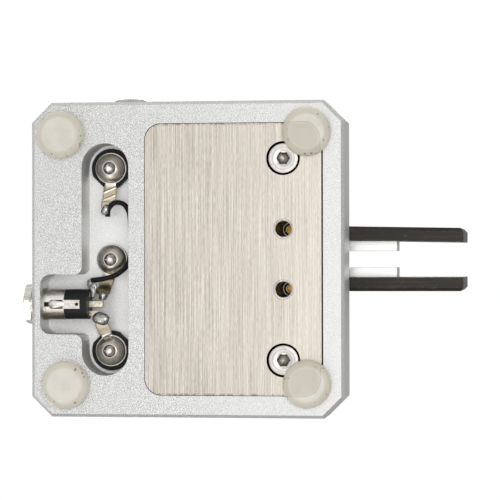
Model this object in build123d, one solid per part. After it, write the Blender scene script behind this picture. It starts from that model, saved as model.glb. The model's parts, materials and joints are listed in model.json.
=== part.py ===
from build123d import *
from math import cos, radians, sin, tan
import os

# A dual-lever telegraph key, in millimetres. +Z is up, -Y is the front, where the finger
# plates are, and +X is the operator's right. The origin lies on the plane that the feet
# stand on, below the middle of the key's whole length.

cut_over = 1.0
sides = (("left", -1), ("right", 1))
running_gap = 0.05
press_gap = 0.01
hair_gap = 0.03
thread_gap = 0.05

# Base, with walls round the counterweight's recess and the rear pocket
foot_height = 3.2
base_side = 75.0
base_y = 12.75
base_thick = 14.5
base_corner = 4.8
base_bevel = 0.75
front_wall = 5.0
side_wall = 5.23
middle_wall = 3.83
rear_wall = 2.1
face_z = foot_height
base_top_z = face_z + base_thick
base_half = base_side / 2
base_front_y = base_y - base_half
base_rear_y = base_y + base_half

# Rubber feet, stuck to the base's lower face by hand: the side and end of each, and how far
# it stands in from them
foot_radius = 5.7
foot_shoulder = 1.9
foot_insets = (
    (-1, -1, 7.6, 8.7),
    (1, -1, 8.2, 8.7),
    (-1, 1, 7.8, 7.3),
    (1, 1, 7.6, 8.5),
)

# Rear pocket for the terminals, and the bay for the jack that opens off it
pocket_inset = 17.9
pocket_width = 11.3
pocket_depth = 9.5
bay_width = 14.3
bay_corner = 2.5
bay_blend = 1.8
pocket_y = base_rear_y - pocket_inset
pocket_roof_z = face_z + pocket_depth
bay_rear_y = base_rear_y - rear_wall

# Counterweight, let into the base from below
weight_thick = 10.0
weight_corner = 4.0
weight_gap = 0.12
weight_front_gap = 0.35
weight_half = base_half - side_wall - weight_gap
weight_rear_y = pocket_y - pocket_width / 2 - middle_wall - weight_gap
weight_front_y = base_front_y + front_wall + weight_front_gap
weight_roof_z = face_z + weight_thick

# Row of the lever pivots and of the screws that hold the bearing frame
pivot_inset = 9.05
pivot_x = 7.15
pillar_inset = 8.35
access_radius = 1.85
access_bevel = 0.4
access_roof_radius = 1.75
pivot_y = weight_front_y + pivot_inset
pillar_x = weight_half - pillar_inset

# Bearing frame: sill, two pillars and a beam that hold the pivot screws
frame_depth = 11.0
sill_thick = 4.0
pillar_width = 8.8
pillar_height = 14.0
beam_thick = 5.0
frame_ease = 0.5
frame_half_width = pillar_x + pillar_width / 2
sill_top_z = base_top_z + sill_thick
beam_z = sill_top_z + pillar_height
beam_top_z = beam_z + beam_thick

# M4 socket cap screws that hold the counterweight, base and bearing frame together
m4_radius = 2.0
m4_shank_radius = m4_radius - thread_gap
m4_clear_radius = 2.25
cap_head_radius = 3.5
cap_head_height = 4.0
cap_head_round = 0.35
cap_hex_width = 3.0
cap_hex_depth = 2.0
counterbore_radius = 4.0
cap_recess = 0.3
cap_thread_depth = 7.0
cap_seat_z = face_z + cap_recess + cap_head_height
cap_screw_top_z = sill_top_z + cap_thread_depth

# M3 cap screws that hold the beam down
beam_screw_radius = 1.5
beam_screw_head_radius = 2.75
beam_screw_head_height = 3.0
beam_screw_head_round = 0.3
beam_screw_hex_width = 2.5
beam_screw_hex_depth = 1.5
beam_screw_clear_radius = 1.7
beam_counterbore_radius = 3.0
beam_thread_depth = 4.0
beam_seat_z = beam_top_z - beam_screw_head_height
beam_screw_end_z = beam_z - beam_thread_depth

# Brass pivot screws, in the sill and in the beam
pivot_screw_radius = 1.5
pivot_shoulder_radius = 1.3
journal_radius = 1.0
pivot_hex_width = 1.5
pivot_hex_depth = 1.2
pivot_screw_inset = 0.2
pivot_screw_top = 2.8
pivot_slot_width = 0.5
pivot_slot_depth = 0.8
pivot_nut_width = 5.5
pivot_nut_thick = 1.8
pivot_nut_bevel = 0.3

# Levers
lever_end_gap = 1.0
lever_inner_x = 2.0
block_wall = 1.65
block_front = 6.4
block_rear = 6.3
block_round = 1.5
block_step = 1.0
bearing_radius = 3.0
bearing_thick = 2.5
bearing_groove_radii = (1.6, 2.5)
bearing_groove_depth = 0.15
pivot_passage_radius = 1.6
tongue_thick = 2.4
tongue_length = 25.4
arm_inner_x = 5.0
arm_thick = 4.3
arm_overhang = 4.8
arm_end_round = 1.2
block_outer_x = pivot_x + bearing_radius + block_wall
tongue_outer_x = lever_inner_x + tongue_thick
tongue_end_y = pivot_y - tongue_length
arm_outer_x = arm_inner_x + arm_thick
lever_bottom_z = sill_top_z + lever_end_gap
lever_top_z = beam_z - lever_end_gap
arm_bottom_z = lever_bottom_z + block_step
arm_top_z = lever_top_z - block_step
contact_z = (arm_bottom_z + arm_top_z) / 2

# Finger plates, on the outer side of the tongues
plate_thick = 3.35
plate_height = 29.0
plate_length = 30.3
plate_base_gap = 0.7
plate_pivot_distance = 11.4
plate_edge_bevel = 0.8
plate_skews = {"left": 1.0, "right": 0.0}
plate_screw_insets = (3.2, 8.7)
plate_screw_radius = 1.0
plate_screw_head_radius = 1.9
plate_screw_head_height = 1.0
plate_screw_slot_width = 0.4
plate_screw_slot_depth = 0.5
plate_screw_end_gap = 0.3
plate_hole_gap = 0.2
plate_outer_x = tongue_outer_x + plate_thick
plate_rear_y = pivot_y - plate_pivot_distance
plate_tip_y = plate_rear_y - plate_length
plate_low_z = base_top_z + plate_base_gap

# Terminals: M4 button head screws, solder lugs and insulating shoulder washers
terminal_x = 22.0
terminal_offset = 0.1
terminal_y = pocket_y + terminal_offset
terminals = (("left", -terminal_x), ("center", 0), ("right", terminal_x))
button_radius = 3.5
button_height = 2.2
button_round = 1.7
button_hex_width = 2.5
button_hex_depth = 1.4
washer_wall_gap = 0.85
washer_thick = 1.2
washer_flat_depth = 0.3
washer_radius = pocket_width / 2 - washer_wall_gap
washer_flat = washer_radius - washer_flat_depth
bush_radius = 2.75
bush_bore = 2.1
bush_end_gap = 0.6
bush_gap = 0.1
bush_length = base_top_z - pocket_roof_z - bush_end_gap

# Solder lugs: the tongue's azimuth and bend in degrees, its flat and its sloping length
lug_thick = 0.5
lug_radius = 3.8
lug_bore = 2.1
lug_tongue_width = 3.2
lug_tip_round = 0.6
lug_azimuths = {"left": 2.0, "center": 11.0, "right": 163.0}
lug_bends = {"left": 20.0, "center": 43.0, "right": 38.0}
lug_flats = {"left": 1.0, "center": 0.5, "right": 0.8}
lug_slopes = {"left": 5.6, "center": 5.9, "right": 4.2}

# Contact posts on insulators, and the grounded post between the levers
post_x = (17.0, 27.0)
post_rear = 6.6
post_front = 5.0
post_height = 18.5
post_edge_round = 1.2
post_ease = 0.5
insulator_thick = 1.0
insulator_margin = 0.5
post_thread_depth = 6.0
pin_radius = 1.25
pin_depth = 2.4
center_post_half_width = 3.5
center_post_half_depth = 4.5
center_post_height = 16.5
center_post_ease = 0.5
stop_pin_radius = 1.5
stop_pin_bevel = 0.3
stop_gap = 0.03
post_z = base_top_z + insulator_thick
terminal_seat_z = pocket_roof_z - washer_thick - lug_thick
terminal_screw_length = post_z + post_thread_depth - terminal_seat_z

# Contacts between each lever and its post
contact_offset = 1.6
contact_y = terminal_y - contact_offset
arm_end_y = contact_y + arm_overhang
rivet_radius = 1.6
rivet_proud = 0.5
rivet_stem_radius = 0.9
contact_gaps = {"left": 1.4, "right": 0.4}
tip_radius = 1.25
tip_length = 1.2
tip_round = 0.5
tip_stem_radius = 0.75
tip_stem_length = 2.0

# Magnets that bring each lever back
tension_spacing = 11.7
tension_y = contact_y - tension_spacing
magnet_radius = 2.5
magnet_thick = 3.0
lever_magnet_thick = 2.0
magnet_gap = 2.0
magnet_x = arm_outer_x + magnet_gap

# Screws that the operator turns, both kinds on an M4 thread of 0.5 mm pitch
lock_nut_width = 7.0
lock_nut_thick = 2.0
lock_nut_bevel = 0.4
lock_nut_gap = 0.02
knob_radius = 4.3
knob_length = 9.0
knob_bevel = 1.38
knob_flutes = 36
knob_gap = 0.98
tension_knob_radius = 3.4
tension_knob_length = 5.5
tension_knob_bevel = 0.7
tension_knob_flutes = 30
tension_knob_gap = 1.41
flute_radius = 0.28
screw_end_bevel = 0.4
lock_nut_x = post_x[1] + lock_nut_gap
lock_nut_end_x = lock_nut_x + lock_nut_thick
contact_root_x = arm_outer_x + rivet_proud + min(contact_gaps.values()) + tip_length + hair_gap
contact_screw_length = lock_nut_end_x + knob_gap + knob_length - contact_root_x
tension_root_x = magnet_x + magnet_thick + hair_gap
tension_screw_length = lock_nut_end_x + tension_knob_gap + tension_knob_length - tension_root_x

# Jack: a three-pole socket whose threaded bushing goes out through the base's rear wall
jack_x = 10.7
jack_roof_gap = 0.65
shell_radius = 3.7
shell_length = 5.4
flange_radius = 3.85
flange_thick = 1.0
collar_radius = 3.6
collar_length = 5.6
collar_end_wall = 1.6
bushing_radius = 3.0
bushing_bevel = 0.3
bushing_short = 0.1
bushing_hole_gap = 0.15
plug_radius = 1.8
plug_wall_inset = 0.7
chamber_radius = 2.2
shell_window = 1.1
shell_window_inset = 1.25
spring_width = 1.8
spring_length = 2.7
spring_inset = 1.75
spring_thick = 0.4
spring_window_gap = 0.15
strip_width = 2.1
strip_thick = 0.3
strip_inset = 1.7
strip_seat_depth = 0.15
strip_hole_radius = 0.4
strip_hole_inset = 0.7
tab_thick = 0.35
tab_root = 0.6
tab_offsets = (-2.35, 0, 2.25)
tab_widths = (1.2, 1.76, 1.2)
tab_lengths = (1.4, 3.5, 2.2)
jack_washer_radius = 4.1
jack_washer_thick = 0.4
nut_width = 8.8
nut_thick = 1.7
nut_turn = 41.4
nut_bevel = 0.35
nut_bore_gap = 0.05
jack_z = pocket_roof_z - flange_radius - jack_roof_gap
jack_centre = (jack_x, jack_z)
shell_front_y = bay_rear_y - shell_length
collar_front_y = shell_front_y - collar_length
chamber_end_y = collar_front_y + collar_end_wall
plug_wall_start_y = bay_rear_y - plug_wall_inset
shell_window_y = bay_rear_y - shell_window_inset
spring_y = shell_front_y + spring_inset
strip_front_y = collar_front_y + strip_inset
strip_z = jack_z - collar_radius + strip_seat_depth
bushing_end_y = base_rear_y + jack_washer_thick + nut_thick - bushing_short

# Beads of solder at the lugs' tips, by offset from the tip, radius, half length and azimuth
bead_offsets = {"left": (0.65, 0.5, -0.85), "center": (0.25, 0, -0.5), "right": (-0.15, 0, -0.9)}
bead_radii = {"left": 0.95, "center": 1.05, "right": 1.5}
bead_half_lengths = {"left": 1.5, "center": 1.1, "right": 2.0}
bead_azimuths = {"left": 20.0, "center": 0.0, "right": 100.0}

# Bead on the jack's first tab, by offset from that tab's end
tab_bead_offset = (-0.6, 0.95, -0.4)
tab_bead_radius = 0.55
tab_bead_half_length = 1.4

# Signal wire, from the left terminal's lug to the jack. The points follow its route, by
# offset from the pocket's front wall on the base's lower face.
wire_radius = 0.6
core_radius = 0.3
wire_route = (
    (-10.3, 6.0, 5.0),
    (-12.2, 5.9, 4.9),
    (-13.85, 4.35, 5.2),
    (-13.5, 2.15, 5.9),
    (-11.4, 1.05, 6.9),
    (-7.0, 0.9, 8.2),
    (-1.6, 0.95, 8.2),
    (1.6, 1.45, 7.0),
    (3.85, 4.15, 6.0),
    (4.7, 7.25, 6.0),
    (5.0, 10.25, 6.0),
)
core_route = (
    (5.0, 10.25, 6.0),
    (5.1, 10.95, 5.95),
    (5.85, 11.1, 5.75),
    (6.6, 10.6, 5.35),
    (7.7, 9.6, 4.95),
)
arc_share = 0.45


def block(x, y, z):
    """A box between the two values given for each axis."""
    spans = (x, y, z)
    centre = [(low + high) / 2 for low, high in spans]
    size = [abs(high - low) for low, high in spans]
    return Pos(*centre) * Box(*size)


def rod(axis, radius, centre, span):
    """A cylinder along an axis over a span, at the centre's other two coordinates."""
    solid = Cylinder(radius, abs(span[1] - span[0]))
    middle = (span[0] + span[1]) / 2
    if axis == "X":
        return Pos(middle, *centre) * Rot(0, 90, 0) * solid
    if axis == "Y":
        return Pos(centre[0], middle, centre[1]) * Rot(90, 0, 0) * solid
    return Pos(*centre, middle) * solid


def bevelled_rod(radius, height, bevel):
    """A cylinder that stands on z = 0, with both rims bevelled."""
    solid = Pos(0, 0, height / 2) * Cylinder(radius, height)
    return chamfer(solid.edges().filter_by(GeomType.CIRCLE), bevel)


def hexagon(width, height):
    """A hexagonal prism that stands on z = 0, by its width across flats."""
    return extrude(RegularPolygon(width / 2, 6, major_radius=False), amount=height)


def hex_nut(width, height, bore, bevel):
    """A nut that stands on z = 0, its corners turned off at both faces."""
    corner_radius = width / 2 / 0.866
    solid = hexagon(width, height) & bevelled_rod(corner_radius, height, bevel)
    return solid - rod("Z", bore, (0, 0), (-cut_over, height + cut_over))


def socket_screw(head, shank, hex_size):
    """A screw whose head's face lies on z = 0, facing down, with its shank running up."""
    head_radius, head_height, head_round = head
    shank_radius, shank_length = shank
    hex_width, hex_depth = hex_size
    solid = Pos(0, 0, head_height / 2) * Cylinder(head_radius, head_height)
    solid = fillet(solid.edges().group_by(Axis.Z)[0], head_round)
    solid += rod("Z", shank_radius, (0, 0), (head_height, head_height + shank_length))
    return solid - Pos(0, 0, -cut_over) * hexagon(hex_width, hex_depth + cut_over)


def fluted_knob(radius, length, bevel, flutes):
    """A knob that stands on z = 0, with straight flutes round its rim."""
    section = Circle(radius) - [
        Rot(0, 0, 360 * turn / flutes) * Pos(radius, 0) * Circle(flute_radius)
        for turn in range(flutes)
    ]
    return extrude(section, amount=length) & bevelled_rod(radius, length, bevel)


def along_x(sign, start_x, y, z):
    """Place a solid that stands on z = 0 so that it starts at a side's x and runs outwards."""
    return Pos(sign * start_x, y, z) * Rot(0, 90 * sign, 0)


def side_span(sign, span):
    """The x span of a piece on the left or the right."""
    return tuple(sign * value for value in span)


def largest(shape):
    """The largest solid of a shape that a cut may have divided."""
    return max(shape.solids(), key=lambda solid: solid.volume)


def arc_radii(points):
    """The radius of the arc at each inner point of a route."""
    runs = [Vector(*b) - Vector(*a) for a, b in zip(points, points[1:])]
    found = []
    for before, after in zip(runs, runs[1:]):
        half_turn = radians(before.get_angle(after)) / 2
        found.append(arc_share * min(before.length, after.length) / tan(half_turn))
    return found


def tube(route, radius):
    """A tube along a route's straight runs and tangent arcs."""
    wall_y = pocket_y - pocket_width / 2
    points = [(x, wall_y + y, face_z + z) for x, y, z in route]
    radii = arc_radii(points)
    path = FilletPolyline(*[Vector(*point) for point in points], radius=radii)
    section = Plane(origin=path @ 0, z_dir=path % 0) * Circle(radius)
    solid = sweep(section, path=path)
    print("route radii", [round(value, 2) for value in radii])
    print("tube volume", round(solid.volume, 3), "by length", round(section.area * path.length, 3))
    return solid


def rubber_feet():
    """Four round feet whose lower rims are rounded down to a flat."""
    feet = []
    for side, end, side_inset, end_inset in foot_insets:
        centre = (side * (base_half - side_inset), base_y + end * (base_half - end_inset))
        foot = rod("Z", foot_radius, centre, (0, foot_height))
        feet.append(fillet(foot.edges().group_by(Axis.Z)[0], foot_shoulder))
    return feet


def pocket_section():
    """The outline of the terminal pocket and of the jack bay behind it."""
    slot = Pos(0, pocket_y) * SlotCenterToCenter(2 * terminal_x, pocket_width)
    bay_length = bay_rear_y - pocket_y
    bay = Pos(jack_x, pocket_y + bay_length / 2) * Rectangle(bay_width, bay_length)
    section = slot + bay
    corners = section.vertices().group_by(Axis.Y)
    section = fillet(corners[-1], bay_corner)
    mouth_y = pocket_y + pocket_width / 2
    mouth = [
        corner
        for corner in section.vertices()
        if abs(corner.Y - mouth_y) < hair_gap and abs(abs(corner.X - jack_x) - bay_width / 2) < hair_gap
    ]
    return fillet(mouth, bay_blend)


def base():
    """The base with its recess, pocket, bay, screw holes and access holes."""
    solid = block((-base_half, base_half), (base_front_y, base_rear_y), (face_z, base_top_z))
    solid = chamfer(solid.edges().filter_by(Axis.Z), base_corner)
    levels = solid.edges().group_by(Axis.Z)
    solid = chamfer(levels[0] + levels[-1], base_bevel)

    recess_y = (weight_front_y - weight_front_gap, weight_rear_y + weight_gap)
    recess_half = weight_half + weight_gap
    recess = block((-recess_half, recess_half), recess_y, (face_z - cut_over, weight_roof_z))
    solid -= fillet(recess.edges().filter_by(Axis.Z), weight_corner)

    pocket = extrude(pocket_section(), amount=pocket_depth + cut_over)
    solid -= Pos(0, 0, face_z - cut_over) * pocket

    through = (weight_roof_z - cut_over, base_top_z + cut_over)
    terminal_through = (pocket_roof_z - cut_over, base_top_z + cut_over)
    pin_span = (base_top_z - pin_depth, base_top_z + cut_over)
    for _, sign in sides:
        solid -= rod("Z", m4_clear_radius, (sign * pillar_x, pivot_y), through)
        solid -= rod("Z", access_roof_radius, (sign * pivot_x, pivot_y), through)
        hole_radius = bush_radius + bush_gap
        solid -= rod("Z", hole_radius, (sign * terminal_x, terminal_y), terminal_through)
        solid -= rod("Z", pin_radius + press_gap, (sign * terminal_x, tension_y), pin_span)
    solid -= rod("Z", m4_clear_radius, (0, terminal_y), terminal_through)
    wall_span = (bay_rear_y - cut_over, base_rear_y + cut_over)
    solid -= rod("Y", bushing_radius + bushing_hole_gap, jack_centre, wall_span)
    return solid


def counterweight():
    """The plate that fills the recess, with counterbores and access holes."""
    x = (-weight_half, weight_half)
    solid = block(x, (weight_front_y, weight_rear_y), (face_z, weight_roof_z))
    solid = fillet(solid.edges().filter_by(Axis.Z), weight_corner)
    through = (face_z - cut_over, weight_roof_z + cut_over)
    for _, sign in sides:
        solid -= rod("Z", m4_clear_radius, (sign * pillar_x, pivot_y), through)
        solid -= rod("Z", counterbore_radius, (sign * pillar_x, pivot_y), (face_z - cut_over, cap_seat_z))
        solid -= rod("Z", access_radius, (sign * pivot_x, pivot_y), through)
        cone_height = access_bevel + cut_over
        cone = Cone(access_radius + cone_height, access_radius, cone_height)
        solid -= Pos(sign * pivot_x, pivot_y, face_z + access_bevel - cone_height / 2) * cone
    return solid


def counterweight_screws():
    """Two cap screws that run up into the pillars."""
    head = (cap_head_radius, cap_head_height, cap_head_round)
    shank = (m4_shank_radius, cap_screw_top_z - cap_seat_z)
    screw = socket_screw(head, shank, (cap_hex_width, cap_hex_depth))
    return [Pos(sign * pillar_x, pivot_y, face_z + cap_recess) * screw for _, sign in sides]


def washer_top(name):
    """The height of the face that a terminal's lug lies against."""
    return pocket_roof_z if name == "center" else pocket_roof_z - washer_thick


def terminal_washer(sign):
    """An insulating washer with a bush round the screw and two slanted flats inwards."""
    x = sign * terminal_x
    disc = rod("Z", washer_radius, (0, 0), (0, washer_thick))
    for turn in (45, -45):
        far = 2 * washer_radius
        cut = block((washer_flat, far), (-far, far), (-cut_over, washer_thick + cut_over))
        disc -= Rot(0, 0, turn) * cut
    bush = rod("Z", bush_radius, (0, 0), (washer_thick, washer_thick + bush_length))
    through = (-cut_over, washer_thick + bush_length + cut_over)
    solid = disc + bush - rod("Z", bush_bore, (0, 0), through)
    facing = Rot(0, 0, 90 + 90 * sign)
    return Pos(x, terminal_y, pocket_roof_z - washer_thick) * facing * solid


def solder_lug(name, x):
    """A ring with a tongue that runs out flat and then bends down to its solder."""
    half = lug_tongue_width / 2
    bend_x = lug_radius + lug_flats[name]
    solid = rod("Z", lug_radius, (0, 0), (-lug_thick, 0))
    solid += block((0, bend_x), (-half, half), (-lug_thick, 0))
    slope = block((0, lug_slopes[name]), (-half, half), (-lug_thick, 0))
    tip = slope.edges().filter_by(Axis.Z).group_by(Axis.X)[-1]
    slope = fillet(tip, lug_tip_round)
    solid += Pos(bend_x, 0, 0) * Rot(0, lug_bends[name], 0) * slope
    solid -= rod("Z", lug_bore, (0, 0), (-lug_thick - cut_over, cut_over))
    return Pos(x, terminal_y, washer_top(name)) * Rot(0, 0, lug_azimuths[name]) * solid


def terminal_screw(name, x):
    """A button head screw that runs up through the base into its post."""
    head = (button_radius, button_height, button_round)
    shank = (m4_shank_radius, terminal_screw_length)
    screw = socket_screw(head, shank, (button_hex_width, button_hex_depth))
    return Pos(x, terminal_y, washer_top(name) - lug_thick - button_height) * screw


def jack_shell():
    """The plated shell, its flange against the wall and the bushing through it."""
    flange_y = bay_rear_y - flange_thick
    solid = rod("Y", shell_radius, jack_centre, (shell_front_y, flange_y))
    solid += rod("Y", flange_radius, jack_centre, (flange_y, bay_rear_y))
    bushing = rod("Y", bushing_radius, jack_centre, (bay_rear_y, bushing_end_y))
    solid += chamfer(bushing.edges().group_by(Axis.Y)[-1], bushing_bevel)
    plug_span = (plug_wall_start_y - cut_over, bushing_end_y + cut_over)
    solid -= rod("Y", plug_radius, jack_centre, plug_span)
    solid -= rod("Y", chamber_radius, jack_centre, (shell_front_y - cut_over, plug_wall_start_y))
    low = (jack_z - flange_radius - cut_over, jack_z)
    half = shell_window / 2
    window_y = (shell_window_y - half, shell_window_y + half)
    solid -= block((jack_x - half, jack_x + half), window_y, low)
    half_x = spring_width / 2 + spring_window_gap
    half_y = spring_length / 2 + spring_window_gap
    solid -= block((jack_x - half_x, jack_x + half_x), (spring_y - half_y, spring_y + half_y), low)
    return solid


def jack_spring_contact():
    """A leaf that bulges a little out of its window in the shell."""
    half_x = spring_width / 2
    half_y = spring_length / 2
    low_z = jack_z - shell_radius
    leaf_y = (spring_y - half_y, spring_y + half_y)
    leaf = block((jack_x - half_x, jack_x + half_x), leaf_y, (low_z, low_z + spring_thick))
    return chamfer(leaf.edges().filter_by(Axis.X).group_by(Axis.Z)[0], spring_thick / 2)


def jack_collar():
    """The black moulding ahead of the shell, flat where the ground strip lies."""
    solid = rod("Y", collar_radius, jack_centre, (collar_front_y, shell_front_y))
    solid -= rod("Y", chamber_radius, jack_centre, (chamber_end_y, shell_front_y + cut_over))
    half = strip_width / 2 + press_gap
    seat_y = (strip_front_y - press_gap, shell_front_y + cut_over)
    solid -= block((jack_x - half, jack_x + half), seat_y, (jack_z - collar_radius - cut_over, strip_z))
    tab_y = (collar_front_y - cut_over, collar_front_y + tab_root)
    for offset, width in zip(tab_offsets, tab_widths):
        solid -= block(tab_x(offset, width), tab_y, (jack_z - tab_thick, jack_z))
    return solid


def jack_ground_strip():
    """A plated strip let into the collar, with a small hole."""
    half = strip_width / 2
    strip_span = (strip_z - strip_thick, strip_z)
    solid = block((jack_x - half, jack_x + half), (strip_front_y, shell_front_y), strip_span)
    hole_span = (strip_span[0] - cut_over, strip_span[1] + cut_over)
    return solid - rod("Z", strip_hole_radius, (jack_x, strip_front_y + strip_hole_inset), hole_span)


def tab_x(offset, width):
    """The x span of a solder tab, by its offset from the jack's axis."""
    return (jack_x + offset - width / 2, jack_x + offset + width / 2)


def jack_terminals():
    """Three flat tabs that come out of the collar's front face."""
    tabs = []
    for offset, width, length in zip(tab_offsets, tab_widths, tab_lengths):
        tab_y = (collar_front_y - length, collar_front_y + tab_root)
        tab = block(tab_x(offset, width), tab_y, (jack_z - tab_thick, jack_z))
        tip = tab.edges().filter_by(Axis.Z).group_by(Axis.Y)[0]
        tabs.append(fillet(tip, width / 3))
    return tabs


def jack_washer():
    """A thin washer between the rear wall and the nut."""
    span = (base_rear_y, base_rear_y + jack_washer_thick)
    hole_span = (span[0] - cut_over, span[1] + cut_over)
    hole = rod("Y", bushing_radius + bushing_hole_gap, jack_centre, hole_span)
    return rod("Y", jack_washer_radius, jack_centre, span) - hole


def jack_nut():
    """The hexagonal nut outside the rear wall."""
    nut = hex_nut(nut_width, nut_thick, bushing_radius + nut_bore_gap, nut_bevel)
    return Pos(jack_x, base_rear_y + jack_washer_thick, jack_z) * Rot(-90, 0, 0) * Rot(0, 0, nut_turn) * nut


def lug_tip(name, x):
    """The end of a lug's tongue, on its side towards the roof."""
    bend = radians(lug_bends[name])
    azimuth = radians(lug_azimuths[name])
    reach = lug_radius + lug_flats[name] + lug_slopes[name] * cos(bend)
    drop = lug_slopes[name] * sin(bend)
    return (x + reach * cos(azimuth), terminal_y + reach * sin(azimuth), washer_top(name) - drop)


def solder_bead(corner, offset, radius, half_length, azimuth):
    """A bead whose long axis lies level, placed by an offset from what it is on."""
    half_section = Pos(0, radius / 2) * Rectangle(2 * half_length, radius)
    bead = revolve(Ellipse(half_length, radius) & half_section, axis=Axis.X)
    return Pos(*corner) * Pos(*offset) * Rot(0, 0, azimuth) * bead


def solder_joints(neighbours):
    """Beads of solder, cut back from the metal that they hold."""
    beads = []
    for name, x in terminals:
        shape = (bead_radii[name], bead_half_lengths[name], bead_azimuths[name])
        beads.append(solder_bead(lug_tip(name, x), bead_offsets[name], *shape))
    tab_end = (jack_x + tab_offsets[0], collar_front_y - tab_lengths[0], jack_z)
    beads.append(solder_bead(tab_end, tab_bead_offset, tab_bead_radius, tab_bead_half_length, 0))
    for neighbour in neighbours:
        beads = [largest(bead - neighbour) for bead in beads]
    return beads


def frame_y():
    """The front and rear of the bearing frame."""
    return (pivot_y - frame_depth / 2, pivot_y + frame_depth / 2)


def eased_block(x, y, z, ease):
    """A box whose edges are all bevelled a little."""
    solid = block(x, y, z)
    return chamfer(solid.edges(), ease)


def bearing_sill():
    """The plate on the base that holds the lower pivot screws."""
    x = (-frame_half_width, frame_half_width)
    solid = eased_block(x, frame_y(), (base_top_z, sill_top_z), frame_ease)
    through = (base_top_z - cut_over, sill_top_z + cut_over)
    for _, sign in sides:
        solid -= rod("Z", m4_clear_radius, (sign * pillar_x, pivot_y), through)
        solid -= rod("Z", pivot_screw_radius + thread_gap, (sign * pivot_x, pivot_y), through)
    return solid


def pillar(sign):
    """One of the two pillars, tapped from below and from above."""
    x = side_span(sign, (frame_half_width - pillar_width, frame_half_width))
    solid = eased_block(x, frame_y(), (sill_top_z, beam_z), frame_ease)
    centre = (sign * pillar_x, pivot_y)
    solid -= rod("Z", m4_radius, centre, (sill_top_z - cut_over, cap_screw_top_z + thread_gap))
    return solid - rod("Z", beam_screw_radius, centre, (beam_screw_end_z - thread_gap, beam_z + cut_over))


def bearing_beam():
    """The beam across the pillars that holds the upper pivot screws."""
    x = (-frame_half_width, frame_half_width)
    solid = eased_block(x, frame_y(), (beam_z, beam_top_z), frame_ease)
    through = (beam_z - cut_over, beam_top_z + cut_over)
    for _, sign in sides:
        centre = (sign * pillar_x, pivot_y)
        solid -= rod("Z", beam_screw_clear_radius, centre, through)
        solid -= rod("Z", beam_counterbore_radius, centre, (beam_seat_z, beam_top_z + cut_over))
        solid -= rod("Z", pivot_screw_radius + thread_gap, (sign * pivot_x, pivot_y), through)
    return solid


def beam_screws():
    """Two cap screws, their heads let into the beam."""
    head = (beam_screw_head_radius, beam_screw_head_height, beam_screw_head_round)
    shank = (beam_screw_radius - thread_gap, beam_seat_z - beam_screw_end_z)
    screw = Rot(180, 0, 0) * socket_screw(head, shank, (beam_screw_hex_width, beam_screw_hex_depth))
    return [Pos(sign * pillar_x, pivot_y, beam_top_z) * screw for _, sign in sides]


def lower_pivot_screws():
    """Two brass screws in the sill, each with a journal for the lever's lower bearing."""
    shoulder_z = lever_bottom_z - running_gap
    screws = []
    for _, sign in sides:
        centre = (sign * pivot_x, pivot_y)
        foot_z = base_top_z + pivot_screw_inset
        screw = rod("Z", pivot_screw_radius, centre, (foot_z, sill_top_z))
        screw += rod("Z", pivot_shoulder_radius, centre, (sill_top_z, shoulder_z))
        screw += rod("Z", journal_radius, centre, (shoulder_z, shoulder_z + bearing_thick))
        socket = Pos(*centre, foot_z - cut_over) * hexagon(pivot_hex_width, pivot_hex_depth + cut_over)
        screws.append(screw - socket)
    return screws


def upper_pivot_screws():
    """Two brass screws in the beam, slotted on top, with journals for the upper bearings."""
    shoulder_z = lever_top_z + running_gap
    screws = []
    for _, sign in sides:
        centre = (sign * pivot_x, pivot_y)
        top_z = beam_top_z + pivot_screw_top
        screw = rod("Z", pivot_screw_radius, centre, (beam_z, top_z))
        screw += rod("Z", pivot_shoulder_radius, centre, (shoulder_z, beam_z))
        screw += rod("Z", journal_radius, centre, (shoulder_z - bearing_thick, shoulder_z))
        slot_x = (centre[0] - pivot_slot_width / 2, centre[0] + pivot_slot_width / 2)
        slot_y = (pivot_y - pivot_screw_radius - cut_over, pivot_y + pivot_screw_radius + cut_over)
        screws.append(screw - block(slot_x, slot_y, (top_z - pivot_slot_depth, top_z + cut_over)))
    return screws


def pivot_lock_nuts():
    """Two thin nuts on the beam that lock the upper pivot screws."""
    nut = hex_nut(pivot_nut_width, pivot_nut_thick, pivot_screw_radius + thread_gap, pivot_nut_bevel)
    return [Pos(sign * pivot_x, pivot_y, beam_top_z) * nut for _, sign in sides]


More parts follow.
